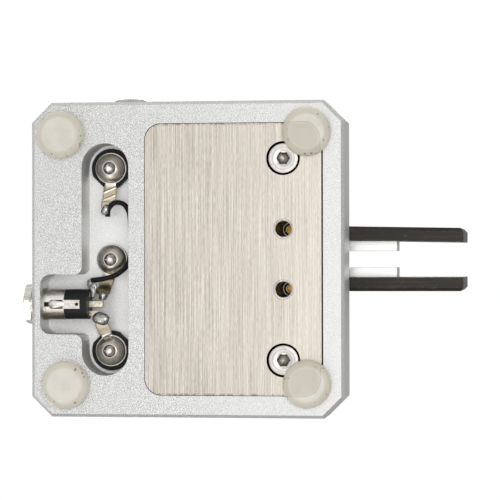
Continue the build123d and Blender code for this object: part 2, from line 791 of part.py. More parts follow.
def lever(sign):
    """A lever: a pivot block with a tongue to the front and an arm to the rear."""
    front_y = pivot_y - block_front
    rear_y = pivot_y + block_rear
    block_x = side_span(sign, (lever_inner_x, block_outer_x))
    solid = block(block_x, (front_y, rear_y), (lever_bottom_z, lever_top_z))
    solid = fillet(solid.edges().filter_by(Axis.Z), block_round)
    arm_z = (arm_bottom_z, arm_top_z)
    tongue_x = side_span(sign, (lever_inner_x, tongue_outer_x))
    solid += block(tongue_x, (tongue_end_y, front_y + 2 * block_round), arm_z)
    arm_x = side_span(sign, (arm_inner_x, arm_outer_x))
    arm = block(arm_x, (rear_y - block_round, arm_end_y), arm_z)
    solid += fillet(arm.edges().filter_by(Axis.Z).group_by(Axis.Y)[-1], arm_end_round)

    centre = (sign * pivot_x, pivot_y)
    seat_radius = bearing_radius + press_gap
    passage = (lever_bottom_z - cut_over, lever_top_z + cut_over)
    solid -= rod("Z", pivot_passage_radius, centre, passage)
    solid -= rod("Z", seat_radius, centre, (lever_bottom_z - cut_over, lever_bottom_z + bearing_thick))
    solid -= rod("Z", seat_radius, centre, (lever_top_z - bearing_thick, lever_top_z + cut_over))

    rivet_span = side_span(sign, (arm_inner_x - cut_over, arm_outer_x + cut_over))
    solid -= rod("X", rivet_stem_radius + press_gap, (contact_y, contact_z), rivet_span)
    magnet_span = side_span(sign, (arm_outer_x - lever_magnet_thick, arm_outer_x + cut_over))
    solid -= rod("X", magnet_radius + press_gap, (tension_y, contact_z), magnet_span)
    hole_span = side_span(sign, (lever_inner_x - cut_over, tongue_outer_x + cut_over))
    for y in plate_screw_places():
        solid -= rod("X", plate_screw_radius + plate_hole_gap, (y, contact_z), hole_span)
    return solid


def lever_bearings(sign):
    """The ball bearings at the lower and upper end of a pivot block."""
    x = sign * pivot_x
    bearings = []
    for low, turn in ((lever_bottom_z, 0), (lever_top_z, 180)):
        ring = rod("Z", bearing_radius, (0, 0), (0, bearing_thick))
        ring -= rod("Z", journal_radius + running_gap / 2, (0, 0), (-cut_over, bearing_thick + cut_over))
        inner, outer = bearing_groove_radii
        groove_span = (-cut_over, bearing_groove_depth)
        ring -= rod("Z", outer, (0, 0), groove_span) - rod("Z", inner, (0, 0), groove_span)
        bearings.append(Pos(x, pivot_y, low) * Rot(turn, 0, 0) * ring)
    return bearings


def plate_screw_places():
    """The y of each screw that holds a finger plate, from the tongue's end backwards."""
    return [tongue_end_y + inset for inset in plate_screw_insets]


def skewed(name, sign):
    """The turn of a finger plate about the front corner of its tongue."""
    corner = (sign * tongue_outer_x, tongue_end_y)
    return Pos(*corner, 0) * Rot(0, 0, -sign * plate_skews[name]) * Pos(-corner[0], -corner[1], 0)


def finger_plate(name, sign):
    """A finger plate with bevelled outer edges and two counterbored holes."""
    x = side_span(sign, (tongue_outer_x, plate_outer_x))
    solid = block(x, (plate_tip_y, plate_rear_y), (plate_low_z, plate_low_z + plate_height))
    outer = solid.faces().sort_by(Axis.X)[0 if sign < 0 else -1]
    solid = chamfer(outer.edges(), plate_edge_bevel)
    for y in plate_screw_places():
        hole_span = side_span(sign, (tongue_outer_x - cut_over, plate_outer_x + cut_over))
        solid -= rod("X", plate_screw_radius + press_gap, (y, contact_z), hole_span)
        seat_x = plate_outer_x - plate_screw_head_height
        seat_span = side_span(sign, (seat_x, plate_outer_x + cut_over))
        solid -= rod("X", plate_screw_head_radius + press_gap, (y, contact_z), seat_span)
    return skewed(name, sign) * solid


def finger_plate_screws(name, sign):
    """Two slotted screws, flush with the finger plate's outer face."""
    seat_x = plate_outer_x - plate_screw_head_height
    screws = []
    for y in plate_screw_places():
        screw = rod("X", plate_screw_head_radius, (y, contact_z), side_span(sign, (seat_x, plate_outer_x)))
        shank_span = side_span(sign, (lever_inner_x + plate_screw_end_gap, seat_x))
        screw += rod("X", plate_screw_radius, (y, contact_z), shank_span)
        half = plate_screw_slot_width / 2
        reach = plate_screw_head_radius + cut_over
        slot_x = side_span(sign, (plate_outer_x - plate_screw_slot_depth, plate_outer_x + cut_over))
        screw -= block(slot_x, (y - half, y + half), (contact_z - reach, contact_z + reach))
        screws.append(skewed(name, sign) * screw)
    return screws


def lever_contact(sign):
    """A silver rivet through the rear arm."""
    head_span = side_span(sign, (arm_outer_x, arm_outer_x + rivet_proud))
    stem_span = side_span(sign, (arm_inner_x, arm_outer_x))
    solid = rod("X", rivet_radius, (contact_y, contact_z), head_span)
    return solid + rod("X", rivet_stem_radius, (contact_y, contact_z), stem_span)


def lever_magnet(sign):
    """A magnet let into the rear arm's outer face."""
    span = side_span(sign, (arm_outer_x - lever_magnet_thick, arm_outer_x))
    return rod("X", magnet_radius, (tension_y, contact_z), span)


def tip_face_x(name):
    """How far out from the centre a contact screw's tip starts."""
    return arm_outer_x + rivet_proud + contact_gaps[name]


def contact_tip(name, sign):
    """A silver tip whose stem turns in the end of the contact screw."""
    tip = Pos(0, 0, tip_length / 2) * Cylinder(tip_radius, tip_length)
    tip = fillet(tip.edges().group_by(Axis.Z)[0], tip_round)
    tip += rod("Z", tip_stem_radius, (0, 0), (tip_length, tip_length + tip_stem_length))
    return along_x(sign, tip_face_x(name), contact_y, contact_z) * tip


def turned_screw(length, stem_length, knob):
    """A screw that stands on z = 0, bored for a stem, with its knob at the far end."""
    radius, knob_height, bevel, flutes = knob
    thread = bevelled_rod(m4_shank_radius, length, screw_end_bevel)
    grip = fluted_knob(radius, knob_height, bevel, flutes)
    solid = thread + Pos(0, 0, length - knob_height) * grip
    bore = rod("Z", tip_stem_radius + running_gap, (0, 0), (-cut_over, stem_length + running_gap))
    return solid - bore


def contact_screw(name, sign):
    """The screw that sets how far the lever swings."""
    knob = (knob_radius, knob_length, knob_bevel, knob_flutes)
    screw = turned_screw(contact_screw_length, tip_stem_length, knob)
    return along_x(sign, tip_face_x(name) + tip_length + hair_gap, contact_y, contact_z) * screw


def tension_magnet(sign):
    """The magnet that pushes the lever back, with a stem that turns in its screw."""
    magnet = rod("Z", magnet_radius, (0, 0), (0, magnet_thick))
    magnet += rod("Z", tip_stem_radius, (0, 0), (magnet_thick, magnet_thick + tip_stem_length))
    return along_x(sign, magnet_x, tension_y, contact_z) * magnet


def tension_screw(sign):
    """The screw that sets how hard the magnets push."""
    knob = (tension_knob_radius, tension_knob_length, tension_knob_bevel, tension_knob_flutes)
    screw = turned_screw(tension_screw_length, tip_stem_length, knob)
    return along_x(sign, tension_root_x, tension_y, contact_z) * screw


def screw_lock_nuts():
    """A nut on each of the four adjusting screws, against its post."""
    nut = hex_nut(lock_nut_width, lock_nut_thick, m4_shank_radius + running_gap, lock_nut_bevel)
    places = [(sign, y) for _, sign in sides for y in (contact_y, tension_y)]
    return [along_x(sign, lock_nut_x, y, contact_z) * nut for sign, y in places]


def post_y():
    """The front and rear of the contact posts."""
    return (tension_y - post_front, contact_y + post_rear)


def contact_post(sign):
    """A post that carries a contact screw and a tension screw."""
    x = side_span(sign, post_x)
    solid = block(x, post_y(), (post_z, post_z + post_height))
    solid = fillet(solid.edges().filter_by(Axis.Z), post_edge_round)
    solid = chamfer(solid.edges().group_by(Axis.Z)[-1], post_ease)
    span = side_span(sign, (post_x[0] - cut_over, post_x[1] + cut_over))
    for y in (contact_y, tension_y):
        solid -= rod("X", m4_shank_radius + running_gap, (y, contact_z), span)
    screw_top = terminal_seat_z + terminal_screw_length
    centre = (sign * terminal_x, terminal_y)
    solid -= rod("Z", m4_radius, centre, (post_z - cut_over, screw_top + thread_gap))
    pin_span = (post_z - cut_over, post_z + pin_depth)
    return solid - rod("Z", pin_radius + press_gap, (sign * terminal_x, tension_y), pin_span)


def post_insulator(sign):
    """The insulating plate under a contact post."""
    x = side_span(sign, (post_x[0] - insulator_margin, post_x[1] + insulator_margin))
    front_y, rear_y = post_y()
    y = (front_y - insulator_margin, rear_y + insulator_margin)
    solid = block(x, y, (base_top_z, post_z))
    solid = fillet(solid.edges().filter_by(Axis.Z), post_edge_round)
    through = (base_top_z - cut_over, post_z + cut_over)
    solid -= rod("Z", bush_radius + bush_gap, (sign * terminal_x, terminal_y), through)
    return solid - rod("Z", pin_radius + press_gap, (sign * terminal_x, tension_y), through)


def post_locating_pins():
    """Two pins that keep the contact posts square to the base."""
    span = (base_top_z - pin_depth + press_gap, post_z + pin_depth - press_gap)
    return [rod("Z", pin_radius, (sign * terminal_x, tension_y), span) for _, sign in sides]


def center_post():
    """The grounded post between the levers."""
    half_x = center_post_half_width
    y = (terminal_y - center_post_half_depth, terminal_y + center_post_half_depth)
    top_z = base_top_z + center_post_height
    solid = eased_block((-half_x, half_x), y, (base_top_z, top_z), center_post_ease)
    screw_top = pocket_roof_z - lug_thick + terminal_screw_length
    solid -= rod("Z", m4_radius, (0, terminal_y), (base_top_z - cut_over, screw_top + thread_gap))
    pin_span = (-half_x - cut_over, half_x + cut_over)
    return solid - rod("X", stop_pin_radius + press_gap, (contact_y, contact_z), pin_span)


def stop_pin():
    """The pin across the centre post whose ends stop both levers."""
    reach = arm_inner_x - stop_gap
    pin = rod("X", stop_pin_radius, (contact_y, contact_z), (-reach, reach))
    return chamfer(pin.edges().filter_by(GeomType.CIRCLE), stop_pin_bevel)


def save(name, solids):
    """Write one node, of one solid or of several."""
    shape = Compound(children=list(solids)) if isinstance(solids, (list, tuple)) else solids
    export_step(shape, f"parts/{name}.step")


def main():
    os.makedirs("parts", exist_ok=True)
    save("rubber_feet", rubber_feet())
    save("base", base())
    save("counterweight", counterweight())
    save("counterweight_screws", counterweight_screws())

    lugs = {}
    for name, x in terminals:
        lugs[name] = solder_lug(name, x)
        save(f"{name}_solder_lug", lugs[name])
        save(f"{name}_terminal_screw", terminal_screw(name, x))

    collar = jack_collar()
    tabs = jack_terminals()
    wire = tube(wire_route, wire_radius)
    core = tube(core_route, core_radius)
    save("jack_shell", jack_shell())
    save("jack_collar", collar)
    save("jack_spring_contact", jack_spring_contact())
    save("jack_ground_strip", jack_ground_strip())
    save("jack_terminals", tabs)
    save("jack_washer", jack_washer())
    save("jack_nut", jack_nut())
    save("signal_wire", wire)
    save("bare_wire_end", core)
    save("solder_joints", solder_joints([*lugs.values(), collar, *tabs, wire, core]))

    save("bearing_sill", bearing_sill())
    save("bearing_beam", bearing_beam())
    save("beam_screws", beam_screws())
    save("lower_pivot_screws", lower_pivot_screws())
    save("upper_pivot_screws", upper_pivot_screws())
    save("pivot_lock_nuts", pivot_lock_nuts())
    save("post_locating_pins", post_locating_pins())
    save("screw_lock_nuts", screw_lock_nuts())
    save("center_post", center_post())
    save("stop_pin", stop_pin())

    for name, sign in sides:
        save(f"{name}_terminal_washer", terminal_washer(sign))
        save(f"{name}_pillar", pillar(sign))
        save(f"{name}_contact_post", contact_post(sign))
        save(f"{name}_post_insulator", post_insulator(sign))
        save(f"{name}_lever", lever(sign))
        save(f"{name}_lever_bearings", lever_bearings(sign))
        save(f"{name}_lever_contact", lever_contact(sign))
        save(f"{name}_lever_magnet", lever_magnet(sign))
        save(f"{name}_finger_plate", finger_plate(name, sign))
        save(f"{name}_finger_plate_screws", finger_plate_screws(name, sign))
        save(f"{name}_contact_tip", contact_tip(name, sign))
        save(f"{name}_contact_screw", contact_screw(name, sign))
        save(f"{name}_tension_magnet", tension_magnet(sign))
        save(f"{name}_tension_screw", tension_screw(sign))


main()
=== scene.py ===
import json
from math import cos, pi, radians, sin

import bpy
import numpy as np
from mathutils import Matrix, Vector


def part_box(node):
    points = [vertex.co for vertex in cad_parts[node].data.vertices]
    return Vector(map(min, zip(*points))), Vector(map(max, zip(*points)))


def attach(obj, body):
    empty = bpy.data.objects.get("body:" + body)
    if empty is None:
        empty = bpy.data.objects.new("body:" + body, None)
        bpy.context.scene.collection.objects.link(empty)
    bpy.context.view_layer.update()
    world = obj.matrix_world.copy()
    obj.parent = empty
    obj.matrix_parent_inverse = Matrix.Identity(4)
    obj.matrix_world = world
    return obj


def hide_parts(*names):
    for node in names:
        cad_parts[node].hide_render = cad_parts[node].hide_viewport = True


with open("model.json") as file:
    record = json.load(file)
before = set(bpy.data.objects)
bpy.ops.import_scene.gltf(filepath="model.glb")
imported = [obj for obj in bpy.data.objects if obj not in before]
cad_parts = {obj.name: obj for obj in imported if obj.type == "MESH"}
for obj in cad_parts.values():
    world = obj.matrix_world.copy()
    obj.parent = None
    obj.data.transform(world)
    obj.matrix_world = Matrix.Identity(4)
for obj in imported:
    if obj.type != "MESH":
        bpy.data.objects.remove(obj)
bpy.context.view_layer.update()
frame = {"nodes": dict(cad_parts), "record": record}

# A dual-lever telegraph key, seen from below. The frame is the CAD's: +Z is up, -Y is the
# front, and lengths are in millimetres until a mesh or a place is handed to Blender. An offset
# beside a named place or radius in a material says where its smooth step starts or ends.

MM = 0.001
sides = (("left", -1), ("right", 1))


def box_mm(node):
    """The lowest and the highest corner of a CAD node, in millimetres."""
    return [np.array(corner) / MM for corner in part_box(node)]


# Places and sizes from the CAD

base_low, base_high = box_mm("base")
base_y = (base_low[1] + base_high[1]) / 2
face_z = base_low[2]
weight_box = box_mm("counterweight")
weight_middle = (weight_box[0] + weight_box[1]) / 2
weight_half = (weight_box[1] - weight_box[0]) / 2
weight_top_z = weight_box[1][2]
weight_corner = 4.0
cap_low, cap_high = box_mm("counterweight_screws")
cap_face_z = cap_low[2]
roof_z = box_mm("center_solder_lug")[1][2]
lug_thick = 0.5
lug_bore = 2.1
lug_radius = 3.8
washer_thick = 1.2
head_radius = 3.5
counterbore_radius = 4.0
hole_radius = 1.85
hole_rim = 2.25
foot_radius = 5.7
foot_round = 1.9
foot_height = 3.2
terminal_y = base_y + 19.7
terminal_x = 22.0
cap_x = 23.8
pivot_x = 7.15
pivot_y = base_y - 23.1
contact_y = base_y + 18.1
tension_y = base_y + 6.4
contact_z = 28.7
terminals = (("left", -terminal_x), ("center", 0.0), ("right", terminal_x))
head_places = tuple((x, terminal_y) for _, x in terminals)
cap_places = ((-cap_x, pivot_y), (cap_x, pivot_y))
pivot_places = ((-pivot_x, pivot_y), (pivot_x, pivot_y))
jack_x = 10.7
jack_z = 8.2
jack_wall_y = base_y + 35.4
jack_flange_y = jack_wall_y - 1.0
jack_front_y = base_y + 29.9
foot_places = (
    (-29.9, base_y - 28.8), (29.3, base_y - 28.8), (-29.7, base_y + 30.2), (29.9, base_y + 29.0),
)


class Socket:
    """An output of a material's node. Arithmetic on it adds Math nodes."""

    def __init__(self, finish, socket):
        self.finish = finish
        self.socket = socket

    def _maths(self, operation, *values):
        return self.finish.add("Math", {"operation": operation}, dict(enumerate(values)))

    def __add__(self, other):
        return self._maths("ADD", self, other)

    def __radd__(self, other):
        return self._maths("ADD", other, self)

    def __sub__(self, other):
        return self._maths("SUBTRACT", self, other)

    def __rsub__(self, other):
        return self._maths("SUBTRACT", other, self)

    def __mul__(self, other):
        return self._maths("MULTIPLY", self, other)

    def __rmul__(self, other):
        return self._maths("MULTIPLY", other, self)

    def __abs__(self):
        return self._maths("ABSOLUTE", self)

    def least(self, other):
        return self._maths("MINIMUM", self, other)

    def most(self, other):
        return self._maths("MAXIMUM", self, other)

    def root(self):
        return self._maths("SQRT", self)

    def wave(self):
        return self._maths("SINE", self)


class Nodes:
    """A node tree in the making, with the one method that adds a node."""

    def __init__(self, tree):
        self.tree = tree

    def join(self, socket, value):
        """Put a value or an output on a socket."""
        if isinstance(value, Socket):
            self.tree.links.new(value.socket, socket)
        elif isinstance(value, tuple) and len(value) == 3 and socket.type == "RGBA":
            socket.default_value = (*value, 1)
        else:
            socket.default_value = value

    def add(self, kind, settings=None, sockets=None, output=0):
        """Add a node: its settings first, then the values or outputs on its sockets."""
        node = self.tree.nodes.new("ShaderNode" + kind)
        for name, value in (settings or {}).items():
            if name == "stops":
                self.set_stops(node.color_ramp, value)
            else:
                setattr(node, name, value)
        for name, value in (sockets or {}).items():
            self.join(node.inputs[name], value)
        return Socket(self, node.outputs[output])

    def set_stops(self, ramp, stops):
        """Give a ramp its stops, each a position and a colour."""
        while len(ramp.elements) < len(stops):
            ramp.elements.new(1)
        for element, (position, colour) in zip(ramp.elements, stops):
            element.position = position
            element.color = (*colour, 1)

    def step(self, value, low, high, out_low=0.0, out_high=1.0):
        """A smooth step of a value from one number to another, which may be the lower one."""
        settings = {"interpolation_type": "SMOOTHSTEP"}
        sockets = {
            "Value": value, "From Min": low, "From Max": high, "To Min": out_low, "To Max": out_high,
        }
        return self.add("MapRange", settings, sockets)

    def ramp(self, value, *stops):
        """A colour ramp over a value."""
        return self.add("ValToRGB", {"stops": stops}, {"Fac": value})

    def mix(self, share, first, second):
        """A colour between two others."""
        settings = {"data_type": "RGBA"}
        return self.add("Mix", settings, {0: share, 6: first, 7: second}, output=2)


class Finish(Nodes):
    """A material in the making."""

    def __init__(self, name, **numbers):
        self.material = bpy.data.materials.new(name)
        self.material.use_nodes = True
        super().__init__(self.material.node_tree)
        self.shader = self.tree.nodes["Principled BSDF"]
        for socket, value in numbers.items():
            self.shader.inputs[socket.replace("_", " ")].default_value = value
        self.place = self.add("TexCoord", output="Object")

    def feed(self, **sockets):
        """Give the shader what changes over the surface."""
        for socket, value in sockets.items():
            self.join(self.shader.inputs[socket.replace("_", " ")], value)
        return self.material

    def placed(self, centre=(0, 0, 0), scale=(1, 1, 1)):
        """Object coordinates about a centre in mm, scaled per mm."""
        shifted = self.add(
            "VectorMath", {"operation": "SUBTRACT"},
            {0: self.place, 1: tuple(value * MM for value in centre)},
        )
        return self.add(
            "VectorMath", {"operation": "MULTIPLY"},
            {0: shifted, 1: tuple(value / MM for value in scale)},
        )

    def axes(self, centre=(0, 0, 0)):
        """The three Object coordinates about a centre, in mm."""
        place = self.placed(centre)
        return [self.add("SeparateXYZ", None, {0: place}, output) for output in range(3)]

    def reach(self, *centres):
        """The distance in plan to the nearest of several places, in mm."""
        nearest = None
        for x, y in centres:
            away = self.placed((x, y, 0), (1, 1, 0))
            length = self.add("VectorMath", {"operation": "LENGTH"}, {0: away}, output=1)
            nearest = length if nearest is None else nearest.least(length)
        return nearest

    def inside(self, centre, half, corner):
        """How far a place lies inside a round-cornered rectangle's border in plan, in mm."""
        x, y, _ = self.axes((*centre, 0))
        over_x = abs(x) - (half[0] - corner)
        over_y = abs(y) - (half[1] - corner)
        out_x = over_x.most(0.0)
        out_y = over_y.most(0.0)
        out = (out_x * out_x + out_y * out_y).root()
        return corner - out - over_x.most(over_y).least(0.0)

    def cloud(self, scale, detail=2.0, rough=0.5, warp=0.0, place=None):
        """A noise between 0 and 1, by its features per mm."""
        place = place or self.placed()
        sockets = {
            "Vector": place, "Scale": scale, "Detail": detail, "Roughness": rough, "Distortion": warp,
        }
        return self.add("TexNoise", {"noise_dimensions": "3D"}, sockets)

    def specks(self, scale):
        """The distance to the nearest of many scattered points, by their number per mm."""
        return self.add("TexVoronoi", None, {"Vector": self.placed(), "Scale": scale})

    def relief(self, height, strength, depth, edge=0.0):
        """A bump from a height between 0 and 1, its depth in mm, over edges rounded by a radius."""
        sockets = {"Height": height, "Strength": strength, "Distance": depth * MM}
        if edge:
            sockets["Normal"] = self.add("Bevel", {"samples": 4}, {"Radius": edge * MM})
        return self.add("Bump", None, sockets)

    def edge_nearness(self, radius=0.35):
        """How far the surface turns away from its bevelled self, near 1 at an edge."""
        bevel = self.add("Bevel", {"samples": 4}, {"Radius": radius * MM})
        normal = self.add("NewGeometry", output="Normal")
        facing = self.add("VectorMath", {"operation": "DOT_PRODUCT"}, {0: bevel, 1: normal}, output=1)
        return self.step(facing, 0.995, 0.9)


# Tones and sizes that several finishes and pieces share

# Painted shade: black for the walls of recesses and gaps, and for bores, where shade falls.
shade_black = (0.02, 0.017, 0.015)
bore_shade_black = (0.006, 0.005, 0.005)
socket_radius = 1.3
lip_radius = 1.66


def blasted_metal():
    """Bead-blasted, clear anodised aluminium: fine speckle in tone and height.

    The speckle fades in broad patches, and it fades towards the front as painted light, as under the
    stronger light there.
    The pocket's roof is painted brighter, as painted light against the shade in the pocket. The walls of
    the counterweight's recess and the bores under the pivots are painted black inside, as shade.
    """
    made = Finish("blasted aluminium", Metallic=0.85)
    grit = made.cloud(6.5, 1.0, 0.6)
    fine = made.cloud(11.0, 1.0, 0.5)
    broad = made.cloud(0.05, 2.0, 0.5)
    tone = made.ramp(
        0.7 * grit + 0.3 * fine,
        (0.40, (0.29, 0.29, 0.28)), (0.5, (0.68, 0.68, 0.672)), (0.60, (1.0, 1.0, 0.99)),
    )
    _, along, height = made.axes()
    # The broad patches are the metal's own. The fade towards the front is painted light, as under the
    # stronger light there.
    calm = made.step(broad, 0.35, 0.65, 0.0, 0.2) + made.step(along, base_y + 10, base_y - 36, 0.0, 0.45)
    tone = made.mix(calm, tone, (0.71, 0.708, 0.70))
    inner_half = 36.2
    within = made.step(made.inside((0, base_y), (inner_half, inner_half), 2.0), 0.0, 0.2)
    # Painted light: the pocket's roof is lifted towards white against the shade that falls in the pocket.
    roof = made.step(height, roof_z - 0.5, roof_z - 0.1) * made.step(height, roof_z + 0.6, roof_z + 0.3)
    roof = roof * within
    tone = made.mix(roof * 0.62, tone, (1.0, 0.997, 0.985))
    # Painted shade: the walls of the counterweight's recess are painted black.
    gap = 0.4
    slot = made.inside(weight_middle[:2], weight_half[:2] + gap, weight_corner + gap)
    deep = made.step(height, face_z + 0.2, face_z + 0.3)
    deep = deep * made.step(height, weight_top_z + 0.1, weight_top_z + 0.05)
    tone = made.mix(made.step(slot, 0.0, 0.05) * deep, tone, shade_black)
    # Painted shade: the bores under the pivots are painted black inside.
    bore = made.step(made.reach(*pivot_places), hole_rim + 0.25, hole_rim + 0.15)
    bore = bore * made.step(height, weight_top_z + 0.25, weight_top_z + 0.35)
    bore = bore * made.step(height, base_high[2] - 0.02, base_high[2] - 0.1)
    tone = made.mix(bore, tone, bore_shade_black)
    rough = made.step(grit, 0.2, 0.8, 0.42, 0.6)
    bump = made.relief(0.6 * grit + 0.4 * fine, 0.45, 0.05, 0.12)
    return made.feed(Base_Color=tone, Roughness=rough, Normal=bump)


def brushed_metal(name, light, dark, scale):
    """Brushed metal: long streaks along one axis, by the features per mm on each axis."""
    made = Finish(name, Metallic=1.0)
    streaks = made.cloud(1.0, 3.0, 0.65, 0.1, made.placed(scale=scale))
    fine = made.cloud(1.0, 1.0, 0.5, 0.0, made.placed(scale=tuple(value * 2.6 for value in scale)))
    marks = 0.65 * streaks + 0.35 * fine
    tone = made.mix(made.step(marks, 0.34, 0.66), dark, light)
    polish = made.step(streaks, 0.3, 0.7, 0.26, 0.42)
    bump = made.relief(marks, 0.25, 0.02, 0.15)
    return made.feed(Base_Color=tone, Roughness=polish, Normal=bump)


def weight_metal():
    """Brushed stainless steel with its streaks from side to side.

    Its bores and counterbores are painted black inside, as shade. Each access hole has a painted highlight
    on its bevel within a line of painted shade, and a broken line of painted shade lies along the two ends
    of the streaks.
    """
    made = Finish("brushed stainless", Metallic=1.0)
    streaks = made.cloud(1.0, 1.0, 0.6, 0.0, made.placed(scale=(0.05, 11.0, 11.0)))
    fine = made.cloud(1.0, 1.0, 0.6, 0.0, made.placed(scale=(0.6, 15.0, 15.0)))
    wide = made.cloud(1.0, 2.0, 0.5, 0.0, made.placed(scale=(0.02, 0.22, 0.22)))
    marks = 0.55 * streaks + 0.4 * fine + 0.05 * wide
    steel = (0.61, 0.56, 0.495)
    tone = made.ramp(marks, (0.38, (0.36, 0.32, 0.27)), (0.5, steel), (0.62, (0.86, 0.80, 0.72)))
    side, along, height = made.axes()
    # Painted light: the streaks' contrast fades towards the front, as under the stronger light there.
    calm = made.step(along, base_y + 5, base_y - 30, 0.1, 0.4)
    tone = made.mix(calm, tone, steel)
    # Painted shade: a broken dark line along the two ends, where the gap round the weight lies in shade.
    border = made.inside(weight_middle[:2], weight_half[:2], weight_corner)
    shade_breakup = made.cloud(1.4, 3.0, 0.7)
    end = made.step(abs(side), weight_half[0] - 1.0, weight_half[0] - 0.6)
    line = made.step(border, 0.6, 0.2) * end * made.step(shade_breakup, 0.42, 0.62)
    tone = made.mix(line * 0.7, tone, (0.16, 0.12, 0.09))
    distance = made.reach(*pivot_places)
    # Painted shade: a dark line round each access hole's bevel. Painted highlight: the bevel itself is near
    # white.
    ring = made.step(abs(distance - (hole_rim + 0.07)), 0.12, 0.04, 0.0, 0.6)
    tone = made.mix(ring, tone, (0.22, 0.17, 0.13))
    tone = made.mix(made.step(distance, hole_rim + 0.02, hole_rim - 0.03), tone, (1.0, 0.97, 0.93))
    # Painted shade: the bores and the counterbores are black inside.
    bore = made.step(distance, hole_radius + 0.2, hole_radius + 0.1)
    bore = bore * made.step(height, face_z + 0.3, face_z + 0.4)
    seat = made.step(made.reach(*cap_places), counterbore_radius + 0.12, counterbore_radius + 0.06)
    seat = seat * made.step(height, face_z + 0.1, face_z + 0.22)
    tone = made.mix(bore.most(seat), tone, bore_shade_black)
    polish = made.step(streaks, 0.3, 0.7, 0.28, 0.42)
    bump = made.relief(marks, 0.3, 0.02, 0.12)
    return made.feed(Base_Color=tone, Roughness=polish, Normal=bump)


def cap_steel():
    """Turned steel of the two big cap screws: faint rings, a socket in painted shade with a painted
    highlight on its floor, and sides in painted shade.
    """
    made = Finish("turned steel", Metallic=1.0)
    distance = made.reach(*cap_places)
    depth = made.axes()[2] - cap_face_z
    ring = (distance * 9.0).wave() * 0.5 + 0.5
    stain = made.cloud(0.6, 3.0, 0.6)
    fine = made.cloud(4.0, 2.0, 0.5)
    marks = made.step(stain * 0.4 + ring * 0.35 + fine * 0.25, 0.25, 0.75)
    tone = made.mix(marks, (0.58, 0.545, 0.505), (0.76, 0.73, 0.69))
    socket_reach = 1.8
    # Painted shade: the socket is dark inside, with a painted highlight on its floor.
    sink = made.step(depth, 0.12, 0.4) * made.step(distance, socket_reach + 0.1, socket_reach)
    floor_glow = made.step(depth, 1.6, 2.3) * made.step(distance, 1.5, 0.1)
    socket = made.mix(floor_glow, (0.05, 0.042, 0.036), (0.26, 0.245, 0.215))
    tone = made.mix(sink, tone, socket)
    # Painted shade: the head's sides, down in the counterbore, are near black.
    side = made.step(distance, head_radius - 0.2, head_radius - 0.1) * made.step(depth, 0.3, 0.5)
    tone = made.mix(side, tone, (0.02, 0.018, 0.016))
    polish = made.step(stain, 0.3, 0.7, 0.22, 0.34)
    bump = made.relief(ring * 0.6 + fine * 0.4, 0.2, 0.015)
    return made.feed(Base_Color=tone, Roughness=polish, Normal=bump)


def head_nickel():
    """Dark nickel of the button heads: stained domes, a socket in painted shade with a painted highlight, a
    painted highlight on the socket's lip, and painted shade in its groove and round the head's edge.
    """
    made = Finish("dark nickel", Metallic=1.0)
    distance = made.reach(*head_places)
    stain = made.cloud(0.35, 3.0, 0.55)
    fine = made.cloud(3.0, 2.0, 0.5)
    marks = made.step(0.8 * stain + 0.2 * fine, 0.32, 0.68)
    tone = made.mix(marks, (0.50, 0.45, 0.385), (0.74, 0.695, 0.62))
    # Painted shade: the socket is darker inside.
    inner = made.step(distance, socket_radius + 0.06, socket_radius - 0.04)
    tone = made.mix(inner, tone, (0.24, 0.22, 0.20))
    # Painted highlight: a bright spot in each socket, a little off its centre.
    pale_marks = ((x + 0.12, y + 0.28) for x, y in head_places)
    spark = made.step(made.reach(*pale_marks) + 0.9 * made.cloud(1.4), 1.25, 0.75) * inner
    tone = made.mix(spark, tone, (0.80, 0.78, 0.75))
    # Painted highlight: a thin bright ring on the socket's lip.
    lip = made.step(distance, lip_radius - 0.2, lip_radius - 0.14)
    lip = lip * made.step(distance, lip_radius + 0.06, lip_radius - 0.02)
    tone = made.mix(lip * 0.8, tone, made.mix(stain, (0.45, 0.42, 0.38), (0.95, 0.92, 0.88)))
    # Painted shade: a dark line in the groove at the socket's edge.
    groove = made.step(abs(distance - socket_radius), 0.14, 0.05)
    tone = made.mix(groove * 0.8, tone, (0.06, 0.05, 0.045))
    # Painted shade: a black line round the head's edge, in the gap where shade falls under it.
    edge = made.step(distance, head_radius - 0.14, head_radius - 0.04)
    tone = made.mix(edge, tone, shade_black)
    polish = made.step(stain, 0.3, 0.7, 0.24, 0.36)
    bump = made.relief(0.5 * stain + 0.5 * fine, 0.2, 0.03)
    return made.feed(Base_Color=tone, Roughness=polish, Normal=bump)


def knob_steel():
    """Nickelled steel turned about the side to side axis: fine rings and dull stains."""
    made = Finish("knob nickel", Metallic=1.0)
    across = made.axes()[0]
    ring = (across * 26.0).wave() * 0.5 + 0.5
    stain = made.cloud(0.4, 3.0, 0.6, 0.3)
    fine = made.cloud(4.0, 2.0, 0.5)
    marks = made.step(0.6 * stain + 0.2 * ring + 0.2 * fine, 0.32, 0.68)
    tone = made.mix(marks, (0.42, 0.395, 0.34), (0.70, 0.675, 0.62))
    polish = made.step(stain, 0.3, 0.7, 0.2, 0.36)
    bump = made.relief(0.6 * ring + 0.4 * fine, 0.2, 0.01)
    return made.feed(Base_Color=tone, Roughness=polish, Normal=bump)


def plain_metal(name, light, dark, rough=(0.2, 0.35)):
    """Plated or plain metal with soft stains, fine pitting and rounded edges."""
    made = Finish(name, Metallic=1.0)
    stain = made.cloud(0.35, 3.0, 0.6, 0.4)
    fine = made.cloud(3.6, 2.0, 0.5)
    tone = made.mix(made.step(0.7 * stain + 0.3 * fine, 0.35, 0.65), dark, light)
    polish = made.step(stain, 0.3, 0.7, *rough)
    bump = made.relief(fine, 0.3, 0.02, 0.1)
    return made.feed(Base_Color=tone, Roughness=polish, Normal=bump)


